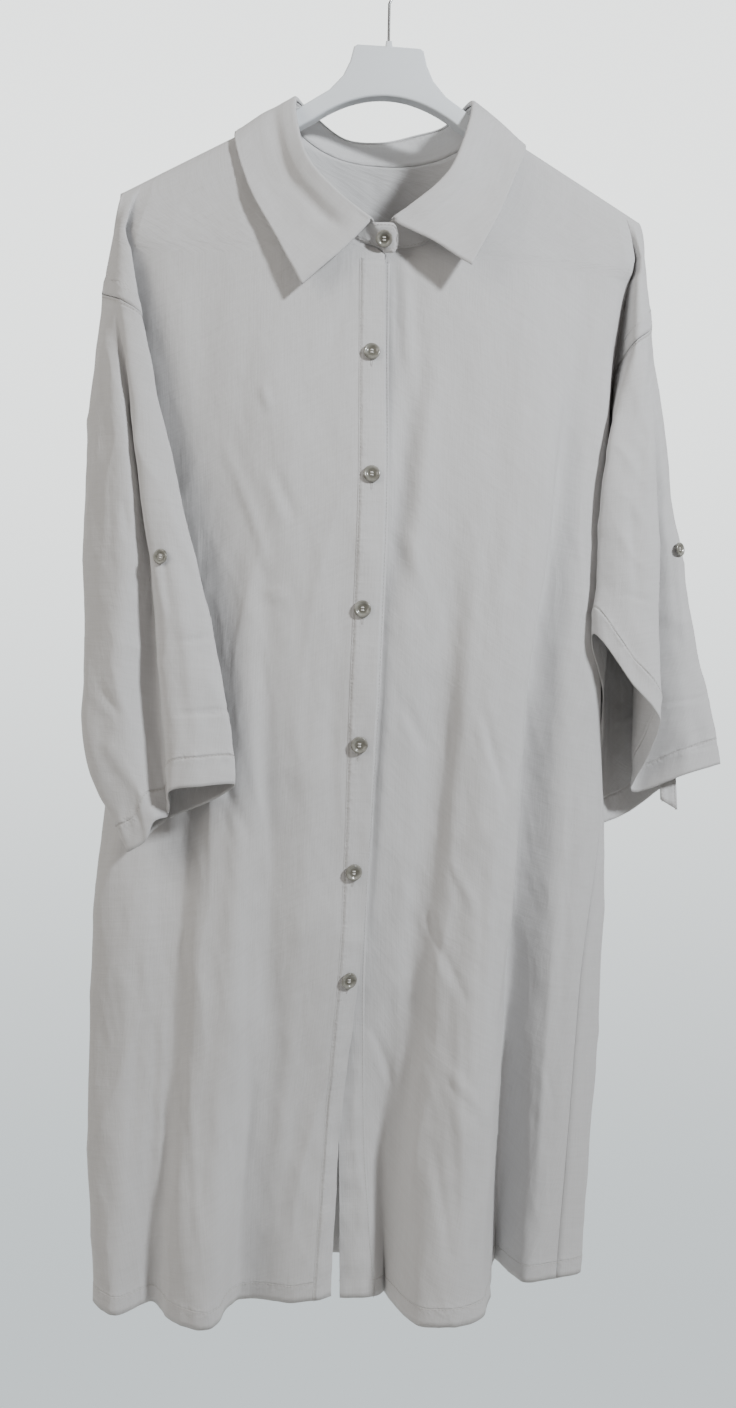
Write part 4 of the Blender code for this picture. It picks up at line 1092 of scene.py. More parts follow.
class Front:
    """One front of the shirt: a section through its fold lines at any height."""

    def __init__(self, folds: tuple[Fold, ...], arm: tuple[Fold, ...], side: int, wrap: float) -> None:
        """Keeps the tables.

        Args:
            folds: lines of the front from its edge to the side seam.
            arm: lines of the shoulder cap beyond it.
            side: 1 for the viewer's right, -1 for the left.
            wrap: how far the back comes forward past the side, in fold lines.
        """
        self.folds = folds
        self.arm = arm
        self.side = side
        self.wrap = wrap
        self.seam_index = len(folds) - 1
        self.crest_index = self.seam_index + len(arm)
        self.hems = [fold.hem for fold in folds + arm]
        self.rows: dict[float, RowCurve] = {}
        self.depths: dict[float, tuple[list[float], list[float]]] = {}

    def depth_at(self, x: float, z: float) -> float:
        """Depth of the section at height z over a place across.

        Args:
            x: the place across.
            z: the height.

        Returns:
            The depth there.
        """
        if z not in self.depths:
            row = self.row(z)
            across = [row.at(s) for s in spread(0.0, self.seam_index, 60)]
            self.depths[z] = ([p.x * self.side for p in across], [p.y for p in across])
        return float(np.interp(x * self.side, *self.depths[z]))

    def row(self, z: float) -> RowCurve:
        """Curve across the fold lines at height z.

        Args:
            z: the height.

        Returns:
            The curve, made once.
        """
        if z not in self.rows:
            used = self.folds + self.arm if z > UNDERARM_Z else self.folds
            self.rows[z] = RowCurve([fold_point(fold, z) for fold in used])
        return self.rows[z]

    def side_wrap(self, z: float) -> float:
        """How far the back wraps forward past the side, in fold lines."""
        return self.wrap * smooth_step(-UNDERARM_Z, -WRAP_Z, -z)

    def edge(self, z: float) -> float:
        """Place of the armhole seam, then of the side seam, on the section at height z.

        Args:
            z: the height.

        Returns:
            The place, a count of fold lines.
        """
        if z > UNDERARM_Z:
            return mix(self.crest_index, self.seam_index, seam_share(z))
        return self.seam_index - self.side_wrap(z)

    def point(self, s: float, z: float) -> Vector:
        """Point of the cloth at place s and height z.

        Args:
            s: the place, a count of fold lines.
            z: the height.

        Returns:
            The point.
        """
        row = self.row(z)
        p = row.at(s)
        if z > NECK_FRONT_Z:
            first = row.points[0].x * self.side
            reach = row.points[-1].x * self.side
            end = ridge_x(z) if z > TIP_Z else reach
            begin = mix(neck_half(z), first, smooth_step(-NECK_FRONT_Z - NECK_EASE, -NECK_FRONT_Z, -z))
            p.x = mix(begin, end, (p.x * self.side - first) / (reach - first)) * self.side
            outer = smooth_step(self.seam_index - OUTER_FOLDS[0], self.seam_index - OUTER_FOLDS[1], s)
            p.y = mix(self.depth_at(p.x, z), p.y, outer)
        own = smooth_step(-TIP_Z, -TIP_Z + FRONT_EASE, -z)
        if z <= TIP_Z:
            own = max(own, smooth_step(*TIP_EASE, abs(p.x)))
        p.y = mix(chest_y(p.x, z), p.y, own)
        p.z += hem_drop(self.hems, s, z)
        return p


LEFT = Front(LEFT_FRONT_FOLDS, LEFT_ARM_FRONT, 1, 2.0)
RIGHT = Front(RIGHT_FRONT_FOLDS, RIGHT_ARM_FRONT, -1, 0.0)


class Back:
    """The back, from the left side seam (viewer's right) across to the right one."""

    side_count = 3
    valley = 2.0

    def __init__(self) -> None:
        """Works out the hem heights."""
        self.last = len(BACK_FOLDS) + 2 * self.side_count - 1
        left = [fold.hem for fold in LEFT_FRONT_FOLDS[-self.side_count :]]
        right = [fold.hem for fold in RIGHT_FRONT_FOLDS[-self.side_count :]]
        self.hems = left + [HEM_Z] * len(BACK_FOLDS) + right[::-1]
        self.rows: dict[float, RowCurve] = {}

    def side_lines(self, front: Front, arm_back: tuple[Fold, ...], z: float) -> list[Vector]:
        """The three lines at one side, from the outermost inwards.

        Args:
            front: the front on that side.
            arm_back: lines of its shoulder cap.
            z: the height.

        Returns:
            Their points.
        """
        if z > UNDERARM_Z:
            return [fold_point(fold, z) for fold in arm_back]
        return front.row(z).points[-self.side_count :]

    def row(self, z: float) -> RowCurve:
        """Curve across the back's lines at height z.

        Args:
            z: the height.

        Returns:
            The curve, made once.
        """
        if z in self.rows:
            return self.rows[z]
        left = self.side_lines(LEFT, LEFT_ARM_BACK, z)
        right = self.side_lines(RIGHT, RIGHT_ARM_BACK, z)
        depth = at_height(LEVELS, BACK_DEPTH, z)
        middle = []
        for fold in BACK_FOLDS:
            x = mix(left[-1].x, right[-1].x, fold.across)
            side_y = mix(left[-1].y, right[-1].y, fold.across)
            bow = (1.0 - abs(2.0 * fold.across - 1.0) ** 3) ** 0.6
            grown = mix(fold.chest, fold.hem, smooth_step(-BACK_FOLDS_Z, -HEM_Z, -z))
            middle.append(Vector((x, mix(side_y, depth, bow) + grown, z)))
        self.rows[z] = RowCurve(left + middle + right[::-1])
        return self.rows[z]

    def ends(self, z: float) -> tuple[float, float]:
        """Places of the two armhole seams, then of the side seams, at height z.

        Args:
            z: the height.

        Returns:
            The two places, counts of lines.
        """
        if z > UNDERARM_Z:
            inset = self.valley * seam_share(z)
            return inset, self.last - inset
        return self.valley - LEFT.side_wrap(z), self.last - self.valley + RIGHT.side_wrap(z)

    def point(self, s: float, z: float) -> Vector:
        """Point of the cloth at place s and height z.

        Args:
            s: the place, a count of lines.
            z: the height.

        Returns:
            The point.
        """
        row = self.row(z)
        p = row.at(s)
        own = smooth_step(-TIP_Z, -TIP_Z + BACK_EASE, -z)
        if z > TIP_Z:
            p.x *= ridge_x(z) / abs(row.points[0].x if p.x > 0 else row.points[-1].x)
        else:
            own = max(own, smooth_step(*TIP_EASE, abs(p.x)))
        p.y = mix(upper_back_y(p.x, z), p.y, own)
        p.z += hem_drop(self.hems, s, z)
        return p


BACK = Back()

# Grid of the body: its rows, and its columns inside and outside the last full fold
ROW_STEP = 0.55
SHOULDER_SHARES = (0.0, 0.03, 0.1, 0.22, 0.36, 0.52, 0.68, 0.84)
SHOULDER_STEP = 0.04
SHOULDER_LAST = 5
FRONT_ROWS = (ARM_TOP_Z, -28.4, NECK_FRONT_Z, -31.0, SEAM_VALLEY_Z, UNDERARM_Z, HEM_RISE_Z, HEM_Z)
BACK_ROWS = (-19.3, TIP_Z, ARM_TOP_Z, -31.0, SEAM_VALLEY_Z, UNDERARM_Z, HEM_RISE_Z, HEM_Z)
COLUMNS_PER_FOLD = 15
OUTER_COUNT = 4
OUTER_COLUMNS = 6 * COLUMNS_PER_FOLD
ARM_COLUMNS = 19
BACK_COLUMNS = 70
BACK_ARM_COLUMNS = 12


def as_array(rows: list[list[Vector | None]]) -> np.ndarray:
    """Rows of points as an array, with NaN for an empty place."""
    empty = (math.nan, math.nan, math.nan)
    return np.array([[empty if p is None else tuple(p) for p in row] for row in rows])


def inset_ends(row: list[Vector]) -> list[Vector]:
    """Row with both ends pulled in a little, so that seams stay apart.

    Args:
        row: of points.

    Returns:
        The row.
    """
    first = row[0] + (row[1] - row[0]).normalized() * SEAM_INSET
    last = row[-1] + (row[-2] - row[-1]).normalized() * SEAM_INSET
    return [first] + row[1:-1] + [last]


def front_row(front: Front, z: float) -> list[Vector | None]:
    """Points across one row of a front, with none beyond the armhole seam.

    Args:
        front: the front.
        z: the row's height.

    Returns:
        The points.
    """
    turn = front.seam_index - OUTER_COUNT
    seam = front.seam_index if z >= SEAM_VALLEY_Z else front.edge(z)
    places = spread(0.0, turn, COLUMNS_PER_FOLD * turn + 1) + spread(turn, seam, OUTER_COLUMNS)[1:]
    row = [front.point(s, z) for s in places]
    if z < SEAM_VALLEY_Z:
        return inset_ends(row) + [None] * (ARM_COLUMNS - 1)
    for share in spread(1.0, 0.0, ARM_COLUMNS)[1:]:
        row.append(front.point(mix(front.crest_index, front.seam_index, share), over_seam(z, share)))
    return inset_ends(row)


def shoulder_rows(front: Front, lowest: list[Vector]) -> list[list[Vector]]:
    """Rows between the shoulder line and the lowest full row, held to the neckline at one end.

    Args:
        front: the front.
        lowest: the full row under them.

    Returns:
        The rows, from the shoulder down.
    """
    reached = [0.0]
    for a, b in zip(lowest, lowest[1:]):
        reached.append(reached[-1] + (b - a).length)
    neck_end = neck_half(ARM_TOP_Z)
    rows = []
    shares = refined(SHOULDER_SHARES, SHOULDER_STEP)[:-1]
    for share in shares + spread(SHOULDER_SHARES[-1], 1.0, SHOULDER_LAST)[:-1]:
        bow = neck_half(mix(NECK_SIDE_Z, ARM_TOP_Z, share)) - mix(NECK_HALF, neck_end, share)
        row = []
        for low, length in zip(lowest, reached):
            place = length / reached[-1]
            top_x = mix(NECK_HALF, SHOULDER_REACH, place)
            x = mix(top_x, abs(low.x), share) + bow * (1.0 - place) ** 2
            z = mix(ridge_z(top_x), low.z, share)
            y = chest_y(x, z) + (low.y - chest_y(low.x, low.z)) * share**2
            row.append(Vector((x * front.side, y, z)))
        rows.append(row)
    for top, below in zip(rows[0], rows[1]):
        top += (below - top).normalized() * SEAM_INSET
    return rows


def back_row(z: float) -> list[Vector | None]:
    """Points across one row of the back, with none beyond the armhole seams.

    Args:
        z: the row's height.

    Returns:
        The points.
    """
    inner = BACK.side_count
    outer = BACK.last - inner
    arm = BACK_ARM_COLUMNS
    start, end = (BACK.valley, BACK.last - BACK.valley) if z >= SEAM_VALLEY_Z else BACK.ends(z)
    places = spread(start, inner, arm + 1)[:-1]
    places += spread(inner, outer, BACK_COLUMNS)
    places += spread(outer, end, arm + 1)[1:]
    row = [BACK.point(s, z) for s in places]
    if z < SEAM_VALLEY_Z:
        return [None] * arm + inset_ends(row) + [None] * arm
    left = []
    right = []
    for share in spread(0.0, 1.0, arm + 1)[:-1]:
        seam_z = over_seam(z, share)
        left.append(BACK.point(BACK.valley * share, seam_z))
        right.insert(0, BACK.point(BACK.last - BACK.valley * share, seam_z))
    return inset_ends(left + row + right)


class Sleeve:
    """Sleeve tube, from its armhole seam down to the cuff rim.

    Attributes:
        front: the front that it is sewn to.
        folds: its fold lines.
        away: how far its valley stands off the body, and the depths between which that grows.
        drop: of its top below the seam.
        ease: how far down the tube bends to meet the seam.
    """

    away = (0.06, 35.5, 37.5)
    drop = 0.05
    ease = 5.0

    def __init__(self, front: Front, folds: tuple[SleeveFold, ...]) -> None:
        """Keeps the tables of one sleeve.

        Args:
            front: the front that it is sewn to.
            folds: its fold lines, round the tube.
        """
        self.front = front
        self.folds = folds
        self.crest = [fold.name for fold in folds].index("crest")
        self.rings: dict[float, RowCurve] = {}
        self.shifts: dict[float, tuple[Vector, float]] = {}

    def ring_point(self, place: float, share: float) -> Vector:
        """Point at a place round the tube (a count of folds) and a share of the way to the rim.

        Args:
            place: round the tube.
            share: of the way.

        Returns:
            The point.
        """
        if share not in self.rings:
            ring = []
            for fold in self.folds:
                z = mix(fold.top, fold.rim, share)
                x = at_height(SLEEVE_LEVELS, fold.x, z)
                ring.append(Vector((x, at_height(SLEEVE_LEVELS, fold.y, z), z)))
            self.rings[share] = RowCurve(ring[-2:] + ring + ring[:3])
        return self.rings[share].at(place + 2)

    def seam_shift(self, place: float) -> tuple[Vector, float]:
        """Move from the tube's own top to the armhole seam, and that top's height.

        Args:
            place: round the tube.

        Returns:
            The move and the height.
        """
        if place not in self.shifts:
            k = int(place)
            after = self.folds[(k + 1) % len(self.folds)]
            z = mix(self.folds[k].top, after.top, place - k)
            if place <= self.crest:
                p = self.front.point(self.front.edge(z), z)
            else:
                start, end = BACK.ends(z)
                p = BACK.point(start if self.front.side > 0 else end, z)
            away = self.away[0] * smooth_step(*self.away[1:], -z)
            top = self.ring_point(place, 0.0)
            shift = p + Vector((away * self.front.side, 0.0, -self.drop)) - top
            self.shifts[place] = (shift, top.z)
        return self.shifts[place]

    def point(self, place: float, share: float) -> Vector:
        """Point of the cloth.

        Args:
            place: round the tube.
            share: of the way to the rim.

        Returns:
            The point.
        """
        p = self.ring_point(place, share)
        shift, top_z = self.seam_shift(place)
        hold = math.exp(-(((top_z - p.z) / self.ease) ** 2))
        return p + shift * hold

    def facing(self, place: float, share: float) -> Vector:
        """Outward direction of the cloth.

        Args:
            place: round the tube.
            share: of the way to the rim.

        Returns:
            The unit direction.
        """
        at = self.point(place, share)
        beside = self.point(place + 0.2, share) - at
        below = self.point(place, share + 0.02) - at
        return below.cross(beside).normalized() * self.front.side


LEFT_SLEEVE = Sleeve(LEFT, LEFT_SLEEVE_FOLDS)
RIGHT_SLEEVE = Sleeve(RIGHT, RIGHT_SLEEVE_FOLDS)


def neck_loop(turn: float) -> Vector:
    """Point of the neck seam: 0 and 1 at the front ends, a half at the nape.

    Args:
        turn: share of the way round the neck.

    Returns:
        The point.
    """
    if NECK_SHOULDER_TURN < turn < 1.0 - NECK_SHOULDER_TURN:
        x = NECK_HALF * math.sin((turn - 0.5) / (0.5 - NECK_SHOULDER_TURN) * math.pi / 2)
        z = back_neck_z(x)
        return Vector((x, upper_back_y(x, z), z))
    front = RIGHT if turn < 0.5 else LEFT
    share = 1.0 - min(turn, 1.0 - turn) / NECK_SHOULDER_TURN
    return front.point(0.0, mix(NECK_SIDE_Z, NECK_FRONT_Z, share * (1.5 - 0.5 * share)))


def collar_at(turn: float) -> list[Vector]:
    """Roll, crease and outer edge of the collar at one place round the neck.

    Args:
        turn: share of the way round the neck.

    Returns:
        The three points.
    """
    knots = [station.turn for station in COLLAR_STATIONS]
    found = []
    for column in ("roll", "crease", "edge"):
        values = [Vector(getattr(station, column)) for station in COLLAR_STATIONS]
        found.append(curve_at(knots, values, turn))
    return found


def stand_edges(turn: float) -> tuple[Vector, Vector]:
    """Lower and upper edge of the stand at one place round the neck.

    Args:
        turn: share of the way round the neck.

    Returns:
        The two points.
    """
    low = neck_loop(turn)
    roll = collar_at(turn)[0]
    rise = (roll - low).normalized()
    return low + rise * STAND_GAP, roll - rise * ROLL_HEIGHT


class Wire:
    """A node socket that Python's own operators add Math nodes to."""

    def __init__(self, shader: "Shader", socket: bpy.types.NodeSocket) -> None:
        """Keeps the socket and the shader that it belongs to."""
        self.shader = shader
        self.socket = socket

    def _math(self, operation: str, a: "Wire | float", b: "Wire | float" = 0.0) -> "Wire":
        """Adds one Math node."""
        return self.shader.add("ShaderNodeMath", {"operation": operation}, {0: a, 1: b})

    def __add__(self, other: "Wire | float") -> "Wire":
        """Sum."""
        return self._math("ADD", self, other)

    __radd__ = __add__

    def __sub__(self, other: "Wire | float") -> "Wire":
        """Difference."""
        return self._math("SUBTRACT", self, other)

    def __rsub__(self, other: "Wire | float") -> "Wire":
        """Difference from a number."""
        return self._math("SUBTRACT", other, self)

    def __mul__(self, other: "Wire | float") -> "Wire":
        """Product."""
        return self._math("MULTIPLY", self, other)

    __rmul__ = __mul__

    def __truediv__(self, other: "Wire | float") -> "Wire":
        """Quotient."""
        return self._math("DIVIDE", self, other)

    def __rtruediv__(self, other: "Wire | float") -> "Wire":
        """Quotient of a number."""
        return self._math("DIVIDE", other, self)

    def __pow__(self, other: float) -> "Wire":
        """Power."""
        return self._math("POWER", self, other)

    def __rpow__(self, other: float) -> "Wire":
        """Power of a number."""
        return self._math("POWER", other, self)

    def bell(self, width: float) -> "Wire":
        """1 where the value is 0, falling to 0 on both sides within about a width."""
        return self._math("EXPONENT", (self / width) ** 2.0 * -1.0)


class Shader:
    """Node tree of one material."""

    def __init__(self, name: str) -> None:
        """Starts a material with a Principled shader.

        Args:
            name: of the material.
        """
        self.material = bpy.data.materials.new(name)
        self.material.use_nodes = True
        self.tree = self.material.node_tree
        self.principled = self.tree.nodes["Principled BSDF"]

    def add(
        self,
        kind: str,
        settings: dict[str, str] | None = None,
        inputs: "dict[str | int, Wire | float | Rgba | Triple] | None" = None,
        output: int | str = 0,
    ) -> Wire:
        """Adds a node.

        Args:
            kind: the node's type.
            settings: its own properties, set first.
            inputs: values or wires of its sockets, by name or number.
            output: which of its outputs to return.

        Returns:
            The output as a wire.
        """
        node = self.tree.nodes.new(kind)
        for key, value in (settings or {}).items():
            setattr(node, key, value)
        for key, value in (inputs or {}).items():
            self.join(value, node.inputs[key])
        return Wire(self, node.outputs[output])

    def join(self, value: "Wire | float | Rgba | Triple", socket: bpy.types.NodeSocket) -> None:
        """Links a wire to a socket, or sets its value.

        Args:
            value: the wire or the value.
            socket: the input socket.
        """
        if isinstance(value, Wire):
            self.tree.links.new(value.socket, socket)
        else:
            socket.default_value = value

    def set(self, **values: "Wire | float | Rgba") -> None:
        """Sets or links the Principled shader's sockets, with _ for a space in a name."""
        for key, value in values.items():
            self.join(value, self.principled.inputs[key.replace("_", " ")])

    def blend(self, share: "Wire | float", a: "Wire | Rgba", b: "Wire | Rgba") -> Wire:
        """Mixes two colours."""
        return self.add("ShaderNodeMix", {"data_type": "RGBA"}, {0: share, 6: a, 7: b}, 2)

    def grain(self, vector: Wire, scale: Triple, detail: float = 2.0) -> Wire:
        """Noise on a stretched vector, from 0 to 1."""
        placed = self.add("ShaderNodeMapping", {}, {"Vector": vector, "Scale": scale})
        return self.add("ShaderNodeTexNoise", {}, {"Vector": placed, "Scale": 1.0, "Detail": detail})

    def relief(self, height: Wire, distance: float, strength: float) -> Wire:
        """Bump from a height."""
        return self.add("ShaderNodeBump", {}, {"Height": height, "Distance": distance, "Strength": strength})

    def spot(self) -> Wire:
        """Place on the object."""
        return self.add("ShaderNodeTexCoord", {}, {}, "Object")

    def attribute(self, name: str) -> Wire:
        """Value of a point attribute."""
        return self.add("ShaderNodeAttribute", {"attribute_name": name}, {}, "Fac")


@dataclass(frozen=True)
class LinenFinish:
    """Matt plain-woven linen, with slubs, soft colour change and drawn-in seams, with painted shade along
    each seam's groove.
    """

    name: str = "linen_cloth"
    light: Rgba = (0.625, 0.625, 0.635, 1.0)
    shade: Rgba = (0.51, 0.505, 0.505, 1.0)
    # Colour of the painted shade in a seam's drawn-in groove
    seam_groove_shade: Rgba = (0.45, 0.435, 0.42, 1.0)
    roughness: float = 0.92
    sheen: float = 0.12
    # How often each pattern repeats
    warp: Triple = (75.0, 2.5, 1.0)
    weft: Triple = (2.5, 75.0, 1.0)
    slub: Triple = (3.0, 30.0, 1.0)
    crumple: Triple = (9.0, 5.5, 1.0)
    pucker: Triple = (22.0, 22.0, 1.0)
    cloud: Triple = (9.0, 9.0, 5.0)
    # The groove along a stitch line and the puckers beside it, in centimetres
    drawn_width: float = 0.11
    pucker_width: float = 0.5

    def make(self) -> bpy.types.Material:
        """Builds the material.

        Returns:
            The material.
        """
        s = Shader(self.name)
        uv = s.add("ShaderNodeUVMap", {"uv_map": "weave"})
        warp = s.grain(uv, self.warp)
        weft = s.grain(uv, self.weft)
        slub = s.grain(uv, self.slub, 1.0)
        crumple = s.grain(uv, self.crumple, 3.0)
        cloud = s.grain(s.spot(), self.cloud, 3.0)
        seam = s.attribute("seam_distance")
        drawn = seam.bell(self.drawn_width)
        beside = seam.bell(self.pucker_width)
        tone = warp * 0.45 + weft * 0.35 + slub * 0.4 + cloud * 0.4 - 0.28
        # Each stitch line's groove is darkened: painted shade, mixed in over the weave's colour
        color = s.blend(drawn * 0.35, s.blend(tone, self.shade, self.light), self.seam_groove_shade)
        pucker = s.grain(uv, self.pucker, 1.0)
        height = warp * 0.3 + weft * 0.15 + slub * 0.15 + crumple * 1.2 - drawn * 1.3 + beside * pucker * 1.6
        s.set(Base_Color=color, Roughness=self.roughness, Normal=s.relief(height, 0.0009, 0.7))
        s.set(Sheen_Weight=self.sheen, Sheen_Roughness=0.6, Specular_IOR_Level=0.25)
        return s.material


@dataclass(frozen=True)
class ThreadFinish:
    """Twisted sewing thread."""

    name: str = "sewing_thread"
    tone: Rgba = (0.52, 0.50, 0.48, 1.0)
    shaded: float = 0.8
    twist: Triple = (900.0, 900.0, 900.0)
    roughness: float = 0.8

    def make(self) -> bpy.types.Material:
        """Builds the material.

        Returns:
            The material.
        """
        s = Shader(self.name)
        twist = s.grain(s.spot(), self.twist)
        dark = tuple(self.shaded * v for v in self.tone[:3]) + (1.0,)
        s.set(Base_Color=s.blend(twist, dark, self.tone), Roughness=self.roughness)
        s.set(Normal=s.relief(twist, 0.0002, 0.5))
        return s.material


@dataclass(frozen=True)
class ButtonFinish:
    """Grey-brown button with a soft swirl, painted shade in its dish and a polished rim."""

    name: str = "button_resin"
    pale: Rgba = (0.40, 0.395, 0.36, 1.0)
    dark: Rgba = (0.10, 0.095, 0.075, 1.0)
    swirl: Triple = (160.0, 160.0, 260.0)
    fine: Triple = (700.0, 700.0, 500.0)
    coat: float = 0.35

    def make(self) -> bpy.types.Material:
        """Builds the material.

        Returns:
            The material.
        """
        s = Shader(self.name)
        swirl = s.grain(s.spot(), self.swirl, 3.0)
        fine = s.grain(s.spot(), self.fine)
        dish_shade = s.attribute("dish_shade")
        # The dish is darkened towards the middle: painted shade in the hollow, over the swirl's colour
        tone = s.blend(dish_shade * 0.75, s.blend(swirl * 1.5 - 0.3, self.dark, self.pale), self.dark)
        s.set(Base_Color=tone, Roughness=fine * 0.16 + 0.16)
        s.set(Normal=s.relief(fine, 0.0001, 0.3), Coat_Roughness=0.1, Coat_Weight=self.coat)
        return s.material


@dataclass(frozen=True)
class PlasticFinish:
    """White moulded plastic with a faint skin and handling marks."""

    name: str = "hanger_plastic"
    tone: Rgba = (0.80, 0.84, 0.88, 1.0)
    worn: Rgba = (0.70, 0.74, 0.78, 1.0)
    skin: Triple = (420.0, 420.0, 420.0)
    marks: Triple = (14.0, 30.0, 22.0)

    def make(self) -> bpy.types.Material:
        """Builds the material.

        Returns:
            The material.
        """
        s = Shader(self.name)
        skin = s.grain(s.spot(), self.skin)
        marks = s.grain(s.spot(), self.marks, 4.0)
        s.set(Base_Color=s.blend(marks * 0.6, self.tone, self.worn), Roughness=marks * 0.18 + 0.3)
        s.set(Normal=s.relief(skin, 0.0001, 0.25))
        return s.material


@dataclass(frozen=True)
class SteelFinish:
    """Bright plated wire with drawing streaks."""

    name: str = "hook_steel"
    tone: Rgba = (0.66, 0.67, 0.68, 1.0)
    dull: Rgba = (0.48, 0.49, 0.50, 1.0)
    streak: Triple = (300.0, 300.0, 40.0)
    cloud: Triple = (80.0, 80.0, 80.0)

    def make(self) -> bpy.types.Material:
        """Builds the material.

        Returns:
            The material.
        """
        s = Shader(self.name)
        streak = s.grain(s.spot(), self.streak)
        cloud = s.grain(s.spot(), self.cloud, 3.0)
        s.set(Base_Color=s.blend(cloud, self.dull, self.tone), Metallic=1.0, Roughness=streak * 0.15 + 0.15)
        s.set(Normal=s.relief(streak, 0.00003, 0.2))
        return s.material


@dataclass(frozen=True)
class FloorFinish:
    """Plain pale studio floor."""

    name: str = "studio_floor"
    tone: Rgba = (0.72, 0.73, 0.72, 1.0)
    brighter: float = 1.06
    cloud: Triple = (2.0, 2.0, 2.0)
    roughness: float = 0.8

    def make(self) -> bpy.types.Material:
        """Builds the material.

        Returns:
            The material.
        """
        s = Shader(self.name)
        cloud = s.grain(s.spot(), self.cloud, 3.0)
        pale = tuple(min(1.0, self.brighter * v) for v in self.tone[:3]) + (1.0,)
        s.set(Base_Color=s.blend(cloud, self.tone, pale), Roughness=self.roughness)
        return s.material


BUTTON_THREAD = ThreadFinish("button_thread", (0.80, 0.79, 0.76, 1.0))


@dataclass
class Finishes:
    """All the finishes, built once."""

    linen: bpy.types.Material = field(default_factory=LinenFinish().make)
    thread: bpy.types.Material = field(default_factory=ThreadFinish().make)
    button_thread: bpy.types.Material = field(default_factory=BUTTON_THREAD.make)
    button: bpy.types.Material = field(default_factory=ButtonFinish().make)
    plastic: bpy.types.Material = field(default_factory=PlasticFinish().make)
    steel: bpy.types.Material = field(default_factory=SteelFinish().make)


@dataclass
class Stitching:
    """Machine stitches along paths, made by Geometry Nodes.

    Attributes:
        finish: the thread.
        pitch: from stitch to stitch, in metres.
        length: of a stitch that shows.
        width: of the thread.
    """

    finish: bpy.types.Material
    pitch: float = 0.0030
    length: float = 0.0023
    width: float = 0.00045
    tree: bpy.types.NodeTree | None = None
    sockets: dict[str, str] = field(default_factory=dict)

    def build_tree(self) -> None:
        """Builds the node tree: resampled paths with a stitch on each point."""
        tree = bpy.data.node_groups.new("stitching", "GeometryNodeTree")
        faces = tree.interface
        faces.new_socket("Geometry", in_out="INPUT", socket_type="NodeSocketGeometry")
        for name in ("Pitch", "Length", "Width"):
            made = faces.new_socket(name, in_out="INPUT", socket_type="NodeSocketFloat")
            self.sockets[name] = made.identifier
        faces.new_socket("Geometry", in_out="OUTPUT", socket_type="NodeSocketGeometry")
        add = tree.nodes.new
        link = tree.links.new
        given = add("NodeGroupInput")
        to_curve = add("GeometryNodeMeshToCurve")
        resample = add("GeometryNodeResampleCurve")
        resample.mode = "LENGTH"
        tangent = add("GeometryNodeInputTangent")
        align = add("FunctionNodeAlignRotationToVector")
        align.axis = "X"
        bead = add("GeometryNodeMeshUVSphere")
        bead.inputs["Segments"].default_value = 6
        bead.inputs["Rings"].default_value = 4
        bead.inputs["Radius"].default_value = 0.5
        size = add("ShaderNodeCombineXYZ")
        place = add("GeometryNodeInstanceOnPoints")
        real = add("GeometryNodeRealizeInstances")
        smooth = add("GeometryNodeSetShadeSmooth")
        dress = add("GeometryNodeSetMaterial")
        dress.inputs["Material"].default_value = self.finish
        done = add("NodeGroupOutput")
        link(given.outputs["Geometry"], to_curve.inputs[0])
        link(to_curve.outputs[0], resample.inputs["Curve"])
        link(given.outputs["Pitch"], resample.inputs["Length"])
        link(resample.outputs[0], place.inputs["Points"])
        link(tangent.outputs[0], align.inputs["Vector"])
        link(align.outputs[0], place.inputs["Rotation"])
        link(given.outputs["Length"], size.inputs[0])
        link(given.outputs["Width"], size.inputs[1])
        link(given.outputs["Width"], size.inputs[2])
        link(size.outputs[0], place.inputs["Scale"])
        link(bead.outputs[0], place.inputs["Instance"])
        link(place.outputs[0], real.inputs[0])
        link(real.outputs[0], smooth.inputs[0])
        link(smooth.outputs[0], dress.inputs[0])
        link(dress.outputs[0], done.inputs[0])
        self.tree = tree

    def sew(self, name: str, paths: Sequence[list[Vector]], scale: float = 1.0) -> None:
        """Sews along paths, as one plain mesh that rides on the body.

        Args:
            name: of the piece.
            paths: runs of points in metres.
            scale: makes the stitches closer and shorter below 1.
        """
        if self.tree is None:
            self.build_tree()
        points: list[Vector] = []
        edges: list[tuple[int, int]] = []
        for path in paths:
            start = len(points)
            points += path
            edges += [(k, k + 1) for k in range(start, start + len(path) - 1)]
        guide_mesh = bpy.data.meshes.new(name + "_guide")
        guide_mesh.from_pydata([tuple(p) for p in points], edges, [])
        guide = linked(name + "_guide", guide_mesh)
        nodes = guide.modifiers.new("stitching", "NODES")
        nodes.node_group = self.tree
        nodes[self.sockets["Pitch"]] = self.pitch * scale
        nodes[self.sockets["Length"]] = self.length * scale
        nodes[self.sockets["Width"]] = self.width
        guide.update_tag()
        mesh = plain_mesh(guide)
        mesh.name = name
        seated(linked(name, mesh))


